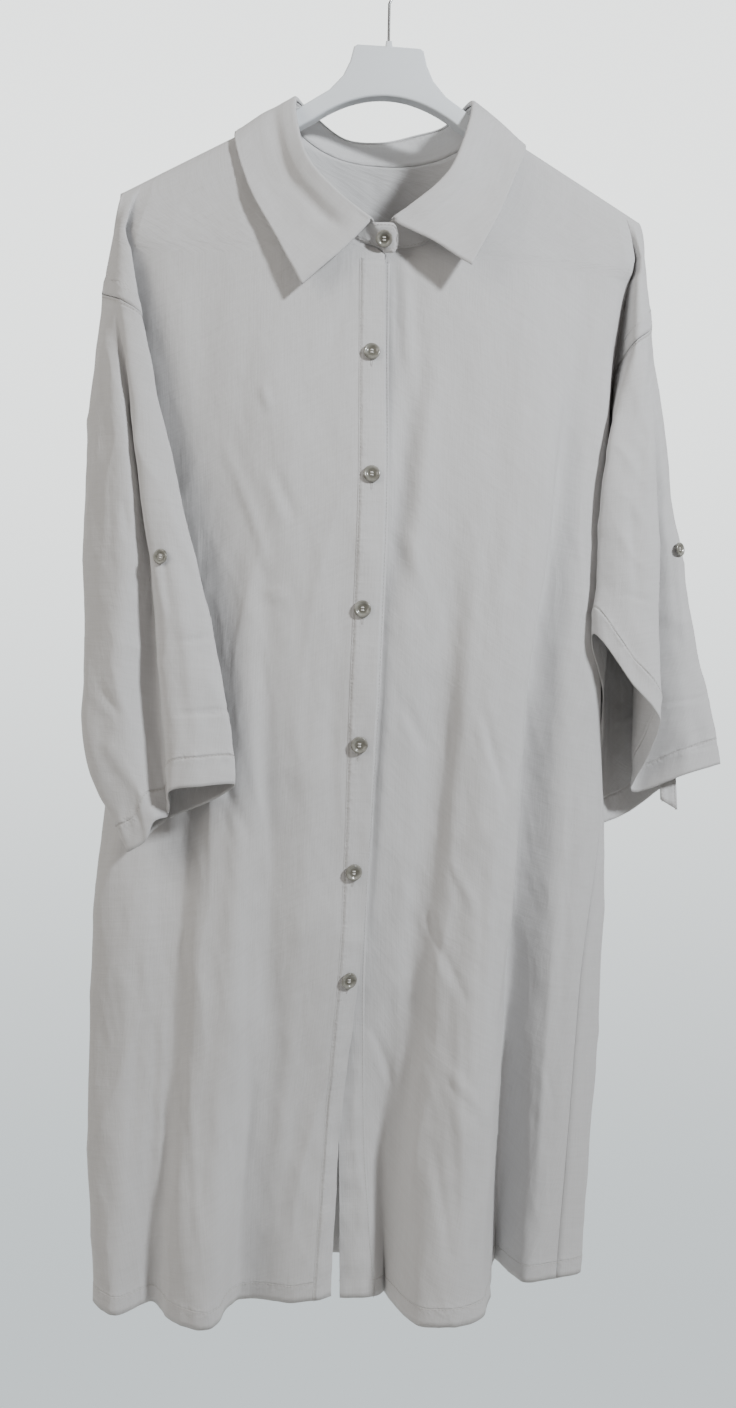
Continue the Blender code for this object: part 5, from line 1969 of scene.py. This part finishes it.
@dataclass
class Body:
    """Fronts, back and placket bands."""

    finishes: Finishes
    stitching: Stitching
    placket: ClothGrid | None = None
    seam_hold: float = 3.0
    hem_pucker: float = 0.02
    # Share of the swelling that the chest keeps, and the depths between which it grows
    calm: float = 0.3
    calm_depths: tuple[float, float] = (36.0, 62.0)
    # Move the swelling of the back and of a front
    seeds: tuple[float, float] = (11.0, 3.0)
    upper_rows: int = 7
    # Band over its front: lift, least lift, where it sinks across, overhang of its free edge
    band_lift: float = SHELL + 0.012
    band_least: float = 0.006
    band_sink: tuple[float, float] = (0.55, 1.0)
    band_overhang: float = 0.06
    # Free edge: where it begins to wave, how high, and its gapes by width, height and reach
    wave_depths: tuple[float, float] = (92.0, 104.0)
    wave: float = 0.07
    ripple: float = 0.008
    gapes: tuple[Triple, ...] = ((0.2, -67.0, 5.5), (0.18, -79.0, 3.5))

    def make(self) -> None:
        """Builds and sews the body."""
        left = self.front(LEFT, "front_left", LEFT_FRONT_CREASES)
        right = self.front(RIGHT, "front_right", RIGHT_FRONT_CREASES)
        self.back()
        self.band(left, "placket_under", ())
        self.placket = self.band(right, "placket_top", ((Edge.LAST, EDGE_STITCH),))

    def hem(self, grid: ClothGrid, node: str) -> None:
        """Turns up a panel's hem, builds the panel and sews it.

        Args:
            grid: the panel.
            node: that it replaces.
        """
        grid.move(hem_relief(grid, Edge.BOTTOM, BODY_HEM, self.hem_pucker))
        grid.build(node, SHELL, self.finishes.linen)
        self.stitching.sew(node + "_hem_stitches", [grid.line(Edge.BOTTOM, BODY_HEM, STITCH_LIFT)])

    def front(self, front: Front, node: str, creases: Sequence[Crease]) -> ClothGrid:
        """Builds one front.

        Args:
            front: its fold lines.
            node: that it replaces.
            creases: its listed creases.

        Returns:
            Its grid.
        """
        full = [front_row(front, z) for z in refined(FRONT_ROWS, ROW_STEP)]
        points = as_array(shoulder_rows(front, full[0]) + full)
        grid = ClothGrid(node + "_cloth", points, -front.side, seams=((Edge.BOTTOM, BODY_HEM),))
        calm = mix(self.calm, 1.0, soft_rise(*self.calm_depths, -points[..., 2]))
        depth = crease_relief(points, creases)
        depth += soft_relief(points, BODY_SWELLS, front.side * self.seeds[1]) * calm
        grid.move(depth * grid.held((Edge.TOP, Edge.LAST), self.seam_hold))
        self.hem(grid, node)
        return grid

    def back(self) -> None:
        """Builds the back."""
        full = [back_row(z) for z in refined(BACK_ROWS, ROW_STEP)]
        reach = full[0][0].x
        upper = []
        for share in spread(0.0, 1.0, self.upper_rows + 1)[:-1]:
            row = []
            for low in full[0]:
                x = low.x * NECK_HALF / reach
                p = mix(Vector((x, 0.0, back_neck_z(x))), low, share)
                p.y = upper_back_y(p.x, p.z)
                row.append(p)
            upper.append(row)
        points = as_array(upper + full)
        grid = ClothGrid("back_cloth", points, -1.0, seams=((Edge.BOTTOM, BODY_HEM),))
        depth = crease_relief(points, BACK_CREASES) + soft_relief(points, BODY_SWELLS, self.seeds[0])
        grid.move(depth * grid.held((Edge.TOP, Edge.FIRST, Edge.LAST), self.seam_hold))
        self.hem(grid, "back")

    def band(
        self, front: ClothGrid, node: str, seams: tuple[tuple[Edge, float], ...]
    ) -> ClothGrid:
        """Lays a band of cloth on a front's free edge.

        Args:
            front: the grid that it lies on.
            node: that it replaces.
            seams: stitch lines that draw it in.

        Returns:
            Its grid.
        """
        outward = front.normals()
        below = front.points[:, 0, 2] < NECK_FRONT_Z - 0.2
        across = np.linspace(0.0, 1.0, COLUMNS_PER_FOLD + 1)
        lift = self.band_lift * (1.0 - soft_rise(*self.band_sink, across)) + self.band_least
        lifted = (front.points[:, : lift.size] + outward[:, : lift.size] * lift[None, :, None])[below]
        edge = lifted[:, :1] + (lifted[:, :1] - lifted[:, 1:2]) * self.band_overhang
        points = np.concatenate((edge, lifted), axis=1)
        grid = ClothGrid(node + "_cloth", points, front.facing, seams=seams)
        z = points[..., 2]
        low = soft_rise(*self.wave_depths, -z)
        wave = wander(z, 1.9, 1.2, 0.53) * self.wave * low + np.sin(z * 2.6) * self.ripple
        free = np.append(1.0, 1.0 - soft_rise(0.6, 1.0, across))[None, :]
        loose = np.append(1.0, 1.0 - soft_rise(0.0, 0.6, across))[None, :]
        gape = sum(depth * np.exp(-(((z - at) / reach) ** 2)) for depth, at, reach in self.gapes)
        grid.move((np.maximum(wave, -0.01) + 0.012 * low) * free + gape * loose)
        grid.build(node, SHELL, self.finishes.linen)
        self.stitching.sew(node + "_stitches", [grid.line(Edge.LAST, EDGE_STITCH, STITCH_LIFT)])
        return grid


@dataclass
class Sleeves:
    """Both sleeves and the strap that shows at one cuff."""

    finishes: Finishes
    stitching: Stitching
    left: ClothGrid | None = None
    right: ClothGrid | None = None
    rows: int = 150
    # Above 1 sets the rows closer at the top
    row_power: float = 1.1
    per_fold: int = 10
    seam_stitch: float = 0.25
    seam_ease: float = 4.0
    cuff_pucker: float = 0.03
    seed: float = 21.0
    strap_columns: int = 7
    strap_step: float = 0.5
    # Strap: how far inside the cloth it is sewn, and where its swelling grows
    strap_sunk: float = 0.13
    strap_ease: tuple[float, float] = (1.5, 5.0)
    strap_more: float = 0.02

    def make(self) -> None:
        """Builds and sews the sleeves."""
        left_creases = (LEFT_SLEEVE_CREASES, LEFT_SLEEVE_BACK_CREASES)
        right_creases = (RIGHT_SLEEVE_CREASES, RIGHT_SLEEVE_BACK_CREASES)
        self.left = self.sleeve(LEFT_SLEEVE, "sleeve_left", *left_creases)
        self.right = self.sleeve(RIGHT_SLEEVE, "sleeve_right", *right_creases)
        self.strap()

    def sleeve(
        self, sleeve: Sleeve, node: str, creases: Sequence[Crease], back_creases: Sequence[Crease]
    ) -> ClothGrid:
        """Builds one sleeve.

        Args:
            sleeve: its fold lines.
            node: that it replaces.
            creases: its listed creases in front.
            back_creases: those behind.

        Returns:
            Its grid.
        """
        shares = [(i / (self.rows - 1)) ** self.row_power for i in range(self.rows)]
        places = [i / self.per_fold for i in range(len(sleeve.folds) * self.per_fold)]
        points = as_array([[sleeve.point(place, share) for place in places] for share in shares])
        seams = ((Edge.BOTTOM, CUFF_HEM), (Edge.TOP, self.seam_stitch))
        grid = ClothGrid(node + "_cloth", points, -sleeve.front.side, closed=True, seams=seams)
        seen = soft_rise(-0.1, 0.4, -grid.normals()[..., 1])
        depth = crease_relief(points, creases) * seen + crease_relief(points, back_creases) * (1.0 - seen)
        depth += soft_relief(points, SLEEVE_SWELLS, self.seed * sleeve.front.side)
        grid.move(depth * grid.held((Edge.TOP,), self.seam_ease))
        grid.move(hem_relief(grid, Edge.BOTTOM, CUFF_HEM, self.cuff_pucker))
        grid.build(node, SHELL, self.finishes.linen)
        self.stitching.sew(node + "_stitches", [grid.line(edge, away, STITCH_LIFT) for edge, away in seams])
        return grid

    def strap(self) -> None:
        """Builds the strap: sewn inside the sleeve and hanging out of the cuff."""
        rows = []
        for share in STRAP_SEWN_SHARES:
            row = []
            for place in spread(*STRAP_SEWN_PLACES, self.strap_columns):
                out = LEFT_SLEEVE.facing(place, share)
                row.append(LEFT_SLEEVE.point(place, share) - out * self.strap_sunk)
            rows.append(row)
        for row in STRAP_ROWS:
            left = Vector((row.left, row.depth, row.left_z))
            right = Vector((row.right, row.depth, row.right_z))
            rows.append([mix(left, right, f) for f in spread(0.0, 1.0, self.strap_columns)])
        knots = [-sum((p.z for p in row), 0.0) / self.strap_columns for row in rows]
        columns = list(zip(*rows))
        fine = [[curve_at(knots, column, t) for column in columns] for t in refined(knots, self.strap_step)]
        points = as_array(fine)
        seams = ((Edge.FIRST, EDGE_STITCH), (Edge.LAST, EDGE_STITCH))
        grid = ClothGrid("sleeve_strap_cloth", points, 1.0, seams=seams)
        free = soft_rise(*self.strap_ease, grid.distance(Edge.TOP))
        grid.move(soft_relief(points, COLLAR_SWELLS, 5.0) * free)
        grid.build("sleeve_strap", SHELL + self.strap_more, self.finishes.linen)
        lift = SHELL / 2 + self.strap_more
        lines = [grid.line(edge, away, side * lift) for edge, away in seams for side in (1.0, -1.0)]
        self.stitching.sew("sleeve_strap_stitches", lines)


@dataclass
class Collar:
    """Stand and fall of the collar."""

    finishes: Finishes
    stitching: Stitching
    columns: int = 141
    thickness: float = 0.11
    stand_rows: int = 9
    tab_columns: int = 16
    # Place round the neck where the stand's under end begins
    stand_end: float = 0.98
    fall_places: tuple[float, ...] = (0.0, 0.19, 0.5, 1.0)
    fall_step: float = 0.028
    # Where each leaf's dip grows and fades round the neck, and how deep the far one is
    near_leaf: tuple[float, ...] = (0.01, 0.07, 0.24, 0.34)
    far_leaf: tuple[float, ...] = (0.66, 0.76, 0.93, 0.99)
    far_share: float = 0.3
    # Swelling by the roll and dip beyond it: height, place and width
    crown: Triple = (0.26, 1.0, 0.7)
    dip: Triple = (-0.5, 2.1, 0.85)
    rim_pucker: float = 0.018
    rim_reach: float = 0.7

    def make(self) -> None:
        """Builds and sews the collar."""
        self.stand()
        self.fall()

    def stand(self) -> None:
        """Builds the band round the neck, with its rounded tab."""
        ends = [(Vector(c.low), Vector(c.high)) for c in STAND_TAB] + [stand_edges(0.0)]
        knots = [float(k) for k in range(len(ends))]
        columns = []
        for t in spread(0.0, knots[-1], self.tab_columns + 1)[:-1]:
            columns.append(tuple(curve_at(knots, edge, t) for edge in zip(*ends)))
        columns += [stand_edges(turn) for turn in spread(0.0, self.stand_end, self.columns)]
        last = (Vector(STAND_UNDER[0].low), Vector(STAND_UNDER[0].high))
        columns += [tuple(mix(columns[-1][side], last[side], f) for side in (0, 1)) for f in (0.5, 1.0)]
        shares = spread(0.0, 1.0, self.stand_rows)
        points = as_array([[mix(low, high, f) for low, high in columns] for f in shares])
        seams = tuple((edge, EDGE_STITCH) for edge in (Edge.TOP, Edge.BOTTOM, Edge.FIRST))
        grid = ClothGrid("collar_stand_cloth", points, -1.0, seams=seams)
        grid.move(soft_relief(points, COLLAR_SWELLS, 31.0) * 0.5)
        grid.build("collar_stand", self.thickness, self.finishes.linen)
        lift = self.thickness / 2 + 0.01
        lines = [grid.line(edge, EDGE_STITCH, lift) for edge in (Edge.TOP, Edge.BOTTOM)]
        self.stitching.sew("collar_stand_stitches", lines)

    def leaf_column(self, turn: float) -> tuple[Vector, ...]:
        """Points that hold the fall's curve at one place round the neck.

        Args:
            turn: share of the way round.

        Returns:
            The points, from inside the roll out to the edge.
        """
        roll, crease, edge = collar_at(turn)
        rise = (roll - stand_edges(turn)[0]).normalized()
        away = crease - roll
        away = (away - rise * away.dot(rise)).normalized()
        start = roll - rise * (ROLL_HEIGHT - 3 * GAP)
        inner = roll - rise * 0.4 * ROLL_BEND + away * 0.15 * ROLL_BEND
        crown = roll + away * ROLL_BEND
        outer = roll - rise * ROLL_BEND + away * 2.0 * ROLL_BEND
        return start, inner, crown, outer, crease, edge

    def fall(self) -> None:
        """Builds the turned-down collar, over its roll and out to its points."""
        places = refined(self.fall_places, self.fall_step)
        columns = []
        for turn in spread(0.0, 1.0, self.columns):
            held = self.leaf_column(turn)
            columns.append([curve_at(FALL_KNOTS, held, f) for f in places])
        points = as_array([list(row) for row in zip(*columns)])
        grid = ClothGrid("collar_fall_cloth", points, 1.0)
        out = grid.distance(Edge.TOP)
        turn = np.linspace(0.0, 1.0, self.columns)[None, :]
        near, far = (
            soft_rise(*leaf[:2], turn) * (1.0 - soft_rise(*leaf[2:], turn))
            for leaf in (self.near_leaf, self.far_leaf)
        )
        dips = (self.crown, self.dip)
        dip = sum(height * np.exp(-(((out - at) / width) ** 2)) for height, at, width in dips)
        depth = soft_relief(points, COLLAR_SWELLS, 41.0) + dip * (near + self.far_share * far)
        rim = np.minimum.reduce([grid.distance(edge) for edge in (Edge.BOTTOM, Edge.FIRST, Edge.LAST)])
        along = grid.lengths(1) + grid.lengths(0)
        drawn = self.rim_pucker * wander(along, 5.2, 1.0, 1.7) * np.exp(-((rim / self.rim_reach) ** 2))
        grid.move((depth + drawn) * soft_rise(1.0, 3.0, out))
        grid.build("collar_fall", self.thickness, self.finishes.linen)


class TubePlace(NamedTuple):
    """A place on a sleeve: round its tube, and as a share of the way to the cuff."""

    place: float
    share: float


@dataclass
class Buttons:
    """Dished four-hole buttons with their threads and buttonholes."""

    finishes: Finishes
    stitching: Stitching
    placket: ClothGrid
    sleeves: tuple[ClothGrid, ClothGrid]
    radius: float = 0.7
    sleeve_radius: float = 0.62
    steps: int = 48
    left_seat: TubePlace = TubePlace(6.4, 0.508)
    right_seat: TubePlace = TubePlace(3.45, 0.54)
    # Reach of the cloth that carries a front button, a sleeve button and a buttonhole
    reach: Triple = (0.5, 0.45, 0.35)
    collar_lift: float = 0.14
    # Buttonhole: half width and height, and its stitches' scale and lift
    hole_half: tuple[float, float] = (0.09, 0.98)
    hole_stitch: float = 0.35
    hole_lift: float = SHELL / 2 + 0.015
    # Shares of the button's radius, its threads' places across and up
    peg_at: float = 0.15
    peg_radius: float = 0.085
    thread_radius: float = 0.05
    thread_apart: float = 0.035
    thread_run: tuple[tuple[float, float], ...] = (
        (-0.15, 0.02),
        (-0.145, 0.2),
        (-0.09, 0.255),
        (0.0, 0.27),
        (0.09, 0.255),
        (0.145, 0.2),
        (0.15, 0.02),
    )
    # Shares of the radius over which the dish's painted shade fades out
    dish_shade: tuple[float, float] = (0.46, 0.66)
    # Half section from the middle of the face to the back
    section: tuple[tuple[float, float], ...] = (
        (0.0, 0.20),
        (0.42, 0.20),
        (0.52, 0.22),
        (0.60, 0.27),
        (0.68, 0.34),
        (0.78, 0.38),
        (0.88, 0.385),
        (0.95, 0.34),
        (0.99, 0.26),
        (1.0, 0.18),
        (0.96, 0.10),
        (0.86, 0.03),
        (0.7, 0.0),
        (0.0, 0.0),
    )

    def make(self) -> None:
        """Places all the buttons."""
        self.down_the_front()
        self.on_the_collar()
        self.on_a_sleeve("button_sleeve_left", LEFT_SLEEVE, self.sleeves[0], self.left_seat)
        self.on_a_sleeve("button_sleeve_right", RIGHT_SLEEVE, self.sleeves[1], self.right_seat)

    def down_the_front(self) -> None:
        """Places the buttons of the placket and sews their buttonholes."""
        holes = []
        for i, (across, z) in enumerate(FRONT_BUTTONS):
            at = RIGHT.point(across, z)
            out = (RIGHT.point(across, z - 1.0) - at).cross(RIGHT.point(across - 0.2, z) - at).normalized()
            seat = self.placket.settle(at, out, self.reach[0]) + out * BUTTON_SEAT
            self.button(f"button_front_{i + 1}", seat, out, self.radius)
            holes.append(self.hole(at + Vector((0.0, 0.0, -BUTTONHOLE_DROP)), out))
        self.stitching.sew("buttonhole_stitches", holes, self.hole_stitch)

    def on_the_collar(self) -> None:
        """Places the button of the stand's tab."""
        low, high = stand_edges(0.0)
        corner = STAND_TAB[-1]
        inner = mix(low, high, COLLAR_BUTTON_RISE)
        outer = mix(Vector(corner.low), Vector(corner.high), COLLAR_BUTTON_RISE)
        out = (high - low).cross(inner - outer).normalized()
        at = mix(inner, outer, COLLAR_BUTTON_ACROSS) + out * self.collar_lift
        self.button("button_collar", at, out, self.radius)

    def on_a_sleeve(self, node: str, sleeve: Sleeve, cloth: ClothGrid, seat: TubePlace) -> None:
        """Places the button of a sleeve.

        Args:
            node: that it replaces.
            sleeve: the sleeve's fold lines.
            cloth: its grid.
            seat: the button's place.
        """
        out = sleeve.facing(seat.place, seat.share)
        at = cloth.settle(sleeve.point(seat.place, seat.share), out, self.reach[1]) + out * BUTTON_SEAT
        self.button(node, at, out, self.sleeve_radius)

    def turned(self, name: str) -> bpy.types.Mesh:
        """Turns a button of radius 1 and drills its thread holes.

        Args:
            name: of the mesh.

        Returns:
            The mesh.
        """
        shape = bmesh.new()
        rim = [shape.verts.new((x, 0.0, z)) for x, z in self.section]
        geom = rim + [shape.edges.new(pair) for pair in zip(rim, rim[1:])]
        bmesh.ops.spin(shape, geom=geom, cent=(0, 0, 0), axis=(0, 0, 1), angle=math.tau, steps=self.steps)
        bmesh.ops.remove_doubles(shape, verts=shape.verts, dist=1e-4)
        bmesh.ops.recalc_face_normals(shape, faces=shape.faces)
        blank = bpy.data.meshes.new(name)
        shape.to_mesh(blank)
        shape.free()
        turned = linked(name, blank)
        pegs = linked(name + "_holes", self.pegs(name))
        cut = turned.modifiers.new("holes", "BOOLEAN")
        cut.operation = "DIFFERENCE"
        cut.object = pegs
        cut.solver = "EXACT"
        mesh = plain_mesh(turned)
        bpy.data.objects.remove(pegs)
        return mesh

    def button(self, node: str, at: Vector, facing: Vector, radius: float) -> None:
        """Makes one button and the thread through its holes.

        Args:
            node: that it replaces.
            at: the middle of its back.
            facing: outwards.
            radius: in centimetres.
        """
        turn = facing.to_track_quat("Z", "Y").to_matrix().to_4x4()
        place = Matrix.Translation(at * CM) @ turn @ Matrix.Scale(radius * CM, 4)
        name = node + "_turned"
        mesh = self.turned(name)
        away = np.array([math.hypot(v.co.x, v.co.y) for v in mesh.vertices])
        # Painted shade of the dish: full inside it, gone towards the rim
        dish_shade = mesh.attributes.new("dish_shade", "FLOAT", "POINT")
        dish_shade.data.foreach_set("value", 1.0 - soft_rise(*self.dish_shade, away))
        mesh.transform(place)
        mesh.shade_smooth()
        mesh.materials.clear()
        mesh.materials.append(self.finishes.button)
        mesh.set_sharp_from_angle(angle=math.radians(50))
        mesh.name = name
        seated(linked(name, mesh), node)
        self.thread(node + "_thread", place)

    def hole(self, at: Vector, out: Vector) -> list[Vector]:
        """Path round an upright buttonhole on the placket, in metres.

        Args:
            at: its middle.
            out: outwards.

        Returns:
            The closed path.
        """
        wide, high = self.hole_half
        path = []
        for angle in spread(0.0, math.tau, 33):
            spot = at + Vector((wide * math.cos(angle), 0.0, high * math.sin(angle)))
            path.append((self.placket.settle(spot, out, self.reach[2]) + out * self.hole_lift) * CM)
        return path

    def pegs(self, name: str) -> bpy.types.Mesh:
        """Four pegs that cut the thread holes.

        Args:
            name: of the button's mesh.

        Returns:
            The pegs.
        """
        shape = bmesh.new()
        wide = self.peg_radius
        for x in (-self.peg_at, self.peg_at):
            for y in (-self.peg_at, self.peg_at):
                spot = Matrix.Translation((x, y, 0.15))
                bmesh.ops.create_cone(
                    shape, cap_ends=True, segments=14, radius1=wide, radius2=wide, depth=0.6, matrix=spot
                )
        mesh = bpy.data.meshes.new(name + "_pegs")
        shape.to_mesh(mesh)
        shape.free()
        return mesh

    def thread(self, name: str, place: Matrix) -> None:
        """Sews the thread across the holes.

        Args:
            name: of the piece.
            place: of the button.
        """
        runs = []
        for y in (-self.peg_at, self.peg_at):
            for shift in (-self.thread_apart, self.thread_apart):
                runs.append([(x, y + shift, z) for x, z in self.thread_run])
        mesh = plain_mesh(linked(name + "_run", traced(name, runs, self.thread_radius, 2)))
        mesh.transform(place)
        mesh.shade_smooth()
        mesh.materials.clear()
        mesh.materials.append(self.finishes.button_thread)
        seated(linked(name, mesh))


@dataclass
class Hanger:
    """Moulded body and wire hook."""

    finishes: Finishes
    # Lower line of the middle
    arch_z: float = -14.1
    arch_bend: float = 0.0585
    arch_half: float = 6.3
    arch_points: int = 24
    half_depth: float = 0.55
    edge_round: float = 0.2
    wire_radius: float = 0.125
    hook_radius: float = 2.4
    # Hook: where the wire bends, how far sideways and up, and its round part in degrees
    hook_neck_z: float = -5.8
    hook_bend: tuple[float, float] = (0.3, 0.7)
    hook_from: float = -60.0
    hook_turn: float = 195.0
    hook_points: int = 64

    def make(self) -> None:
        """Builds both."""
        self.body()
        self.hook()

    def finish(
        self, curve: bpy.types.Curve, turn: Matrix, node: str, slot: str, material: bpy.types.Material
    ) -> None:
        """Turns a curve into a finished piece of its name.

        Args:
            curve: the curve.
            turn: of the piece.
            node: that it replaces.
            slot: not used.
            material: its finish.
        """
        name = curve.name
        mesh = plain_mesh(linked(name + "_curve", curve))
        mesh.transform(turn)
        shape = bmesh.new()
        shape.from_mesh(mesh)
        bmesh.ops.remove_doubles(shape, verts=shape.verts, dist=1e-6)
        bmesh.ops.recalc_face_normals(shape, faces=shape.faces)
        shape.to_mesh(mesh)
        shape.free()
        mesh.shade_smooth()
        mesh.set_sharp_from_angle(angle=math.radians(40))
        mesh.materials.clear()
        mesh.materials.append(material)
        seated(linked(name, mesh), node)

    def body(self) -> None:
        """Builds the moulded body with rounded edges."""
        half = [(point.x, point.z) for point in HANGER_OUTLINE]
        arch = spread(self.arch_half, 0.0, self.arch_points)
        half += [(x, self.arch_z - self.arch_bend * x * x) for x in arch]
        full = half + [(-x, z) for x, z in reversed(half[:-1])]
        curve = bpy.data.curves.new("hanger_moulding", "CURVE")
        curve.dimensions = "2D"
        curve.fill_mode = "BOTH"
        curve.extrude = (self.half_depth - self.edge_round) * CM
        curve.bevel_depth = self.edge_round * CM
        curve.bevel_resolution = 4
        curve.offset = -self.edge_round * CM
        run_through(curve, [(x * CM, z * CM, 0.0) for x, z in full]).use_cyclic_u = True
        upright = Matrix.Rotation(math.pi / 2, 4, "X")
        self.finish(curve, upright, "hanger_body", "plastic", self.finishes.plastic)

    def hook(self) -> None:
        """Builds the wire hook."""
        radius = self.hook_radius + self.wire_radius
        middle_z = self.wire_radius - radius
        aside, up = self.hook_bend
        path = [(0.0, HANGER_OUTLINE[0].z + GAP), (0.0, self.hook_neck_z), (aside, self.hook_neck_z + up)]
        for angle in spread(self.hook_from, self.hook_turn, self.hook_points):
            a = math.radians(angle)
            path.append((radius * math.cos(a), middle_z + radius * math.sin(a)))
        run = [(x * CM, 0.0, z * CM) for x, z in path]
        curve = traced("hook_wire", [run], self.wire_radius * CM, 5)
        self.finish(curve, Matrix.Identity(4), "hanger_hook", "steel", self.finishes.steel)


class Lamp(NamedTuple):
    """A soft square lamp: its place and aim in metres, its side, its watts and its colour."""

    name: str
    at: Triple
    target: Triple
    size: float
    power: float
    tone: Triple


LAMPS = (
    Lamp("key_light", (1.3, -1.5, 0.45), (0.0, 0.0, -0.3), 0.22, 58.0, (0.94, 0.975, 1.0)),
    Lamp("fill_light", (-1.9, -1.0, 0.25), (0.0, 0.0, -0.35), 1.5, 25.0, (1.0, 0.965, 0.90)),
    Lamp("back_light", (0.6, 2.6, 0.6), (0.0, 0.0, -0.6), 1.2, 40.0, (0.97, 0.985, 1.0)),
)


@dataclass
class Studio:
    """Camera, soft lights and floor, in metres."""

    focal_px: float = 1100.0
    image_height_px: float = 1408.0
    sensor_mm: float = 24.0
    azimuth: float = 5.0
    roll: float = 1.07
    distance: float = 0.96
    height: float = -0.669
    axis_shift: float = 0.0072
    # Light from behind the garment, low and high, then from before and beside it
    wall_low: Rgba = (0.85, 0.93, 0.96, 1.0)
    wall_high: Rgba = (2.3, 2.38, 2.36, 1.0)
    room_tone: Rgba = (0.27, 0.252, 0.235, 1.0)
    # Heights between which the light grows, and shares of the way back where the wall begins
    rise: tuple[float, float] = (-0.5, 0.5)
    wall: tuple[float, float] = (0.35, 0.8)
    floor_z: float = -2.3
    floor_radius: float = 1.5

    def make(self) -> None:
        """Sets up the stage."""
        self.camera()
        self.world()
        for lamp in LAMPS:
            self.light(lamp)
        self.floor()

    def camera(self) -> None:
        """Places the camera as the photograph was taken."""
        turn = math.radians(self.azimuth)
        lean = math.radians(self.roll)
        right = Vector((math.cos(turn), -math.sin(turn), 0.0))
        ahead = Vector((math.sin(turn), math.cos(turn), 0.0))
        up = Vector((0.0, 0.0, 1.0))
        across = right * math.cos(lean) + up * math.sin(lean)
        upward = up * math.cos(lean) - right * math.sin(lean)
        place = Matrix((across, upward, -ahead)).transposed().to_4x4()
        place.translation = up * self.height - right * self.axis_shift - ahead * self.distance
        data = bpy.data.cameras.new("camera")
        data.sensor_fit = "VERTICAL"
        data.sensor_height = self.sensor_mm
        data.lens = self.focal_px / self.image_height_px * self.sensor_mm
        camera = linked("camera", data)
        camera.matrix_world = place
        bpy.context.scene.camera = camera

    def world(self) -> None:
        """Surroundings like a pale room: bright behind the garment, dimmer beside and before it."""
        world = bpy.data.worlds.new("studio")
        world.use_nodes = True
        tree = world.node_tree
        way = tree.nodes.new("ShaderNodeTexCoord")
        parts = tree.nodes.new("ShaderNodeSeparateXYZ")
        tree.links.new(way.outputs["Generated"], parts.inputs[0])
        shares = []
        for axis, low, high in ((2, *self.rise), (1, *self.wall)):
            rise = tree.nodes.new("ShaderNodeMapRange")
            rise.interpolation_type = "SMOOTHSTEP"
            rise.inputs["From Min"].default_value = low
            rise.inputs["From Max"].default_value = high
            tree.links.new(parts.outputs[axis], rise.inputs["Value"])
            shares.append(rise.outputs["Result"])
        colors = ((self.wall_low, self.wall_high), (self.room_tone, None))
        last = None
        for share, (dark, light) in zip(shares, colors):
            blend = tree.nodes.new("ShaderNodeMix")
            blend.data_type = "RGBA"
            tree.links.new(share, blend.inputs[0])
            blend.inputs[6].default_value = dark
            if light:
                blend.inputs[7].default_value = light
            else:
                tree.links.new(last, blend.inputs[7])
            last = blend.outputs[2]
        tree.links.new(last, tree.nodes["Background"].inputs["Color"])
        bpy.context.scene.world = world

    def light(self, lamp: Lamp) -> None:
        """Hangs one soft lamp.

        Args:
            lamp: what it is.
        """
        data = bpy.data.lights.new(lamp.name, "AREA")
        data.size = lamp.size
        data.energy = lamp.power
        data.color = lamp.tone
        made = linked(lamp.name, data)
        made.location = lamp.at
        made.rotation_euler = (Vector(lamp.target) - Vector(lamp.at)).to_track_quat("-Z", "Y").to_euler()

    def floor(self) -> None:
        """Adds the floor, a plain round stage below the garment."""
        shape = bmesh.new()
        bmesh.ops.create_circle(shape, cap_ends=True, segments=96, radius=self.floor_radius)
        mesh = bpy.data.meshes.new("floor")
        shape.to_mesh(mesh)
        shape.free()
        mesh.transform(Matrix.Translation((0.0, 0.0, self.floor_z)))
        mesh.materials.append(FloorFinish().make())
        linked("floor", mesh)


def main() -> None:
    """Builds the shirt, its hanger and the studio, and notes the sizes."""
    logging.basicConfig(level=logging.INFO, format="%(name)s: %(message)s")
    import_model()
    finishes = Finishes()
    stitching = Stitching(finishes.thread)
    Studio().make()
    body = Body(finishes, stitching)
    body.make()
    sleeves = Sleeves(finishes, stitching)
    sleeves.make()
    Collar(finishes, stitching).make()
    Buttons(finishes, stitching, body.placket, (sleeves.left, sleeves.right)).make()
    Hanger(finishes).make()


if __name__ == "__main__":
    main()
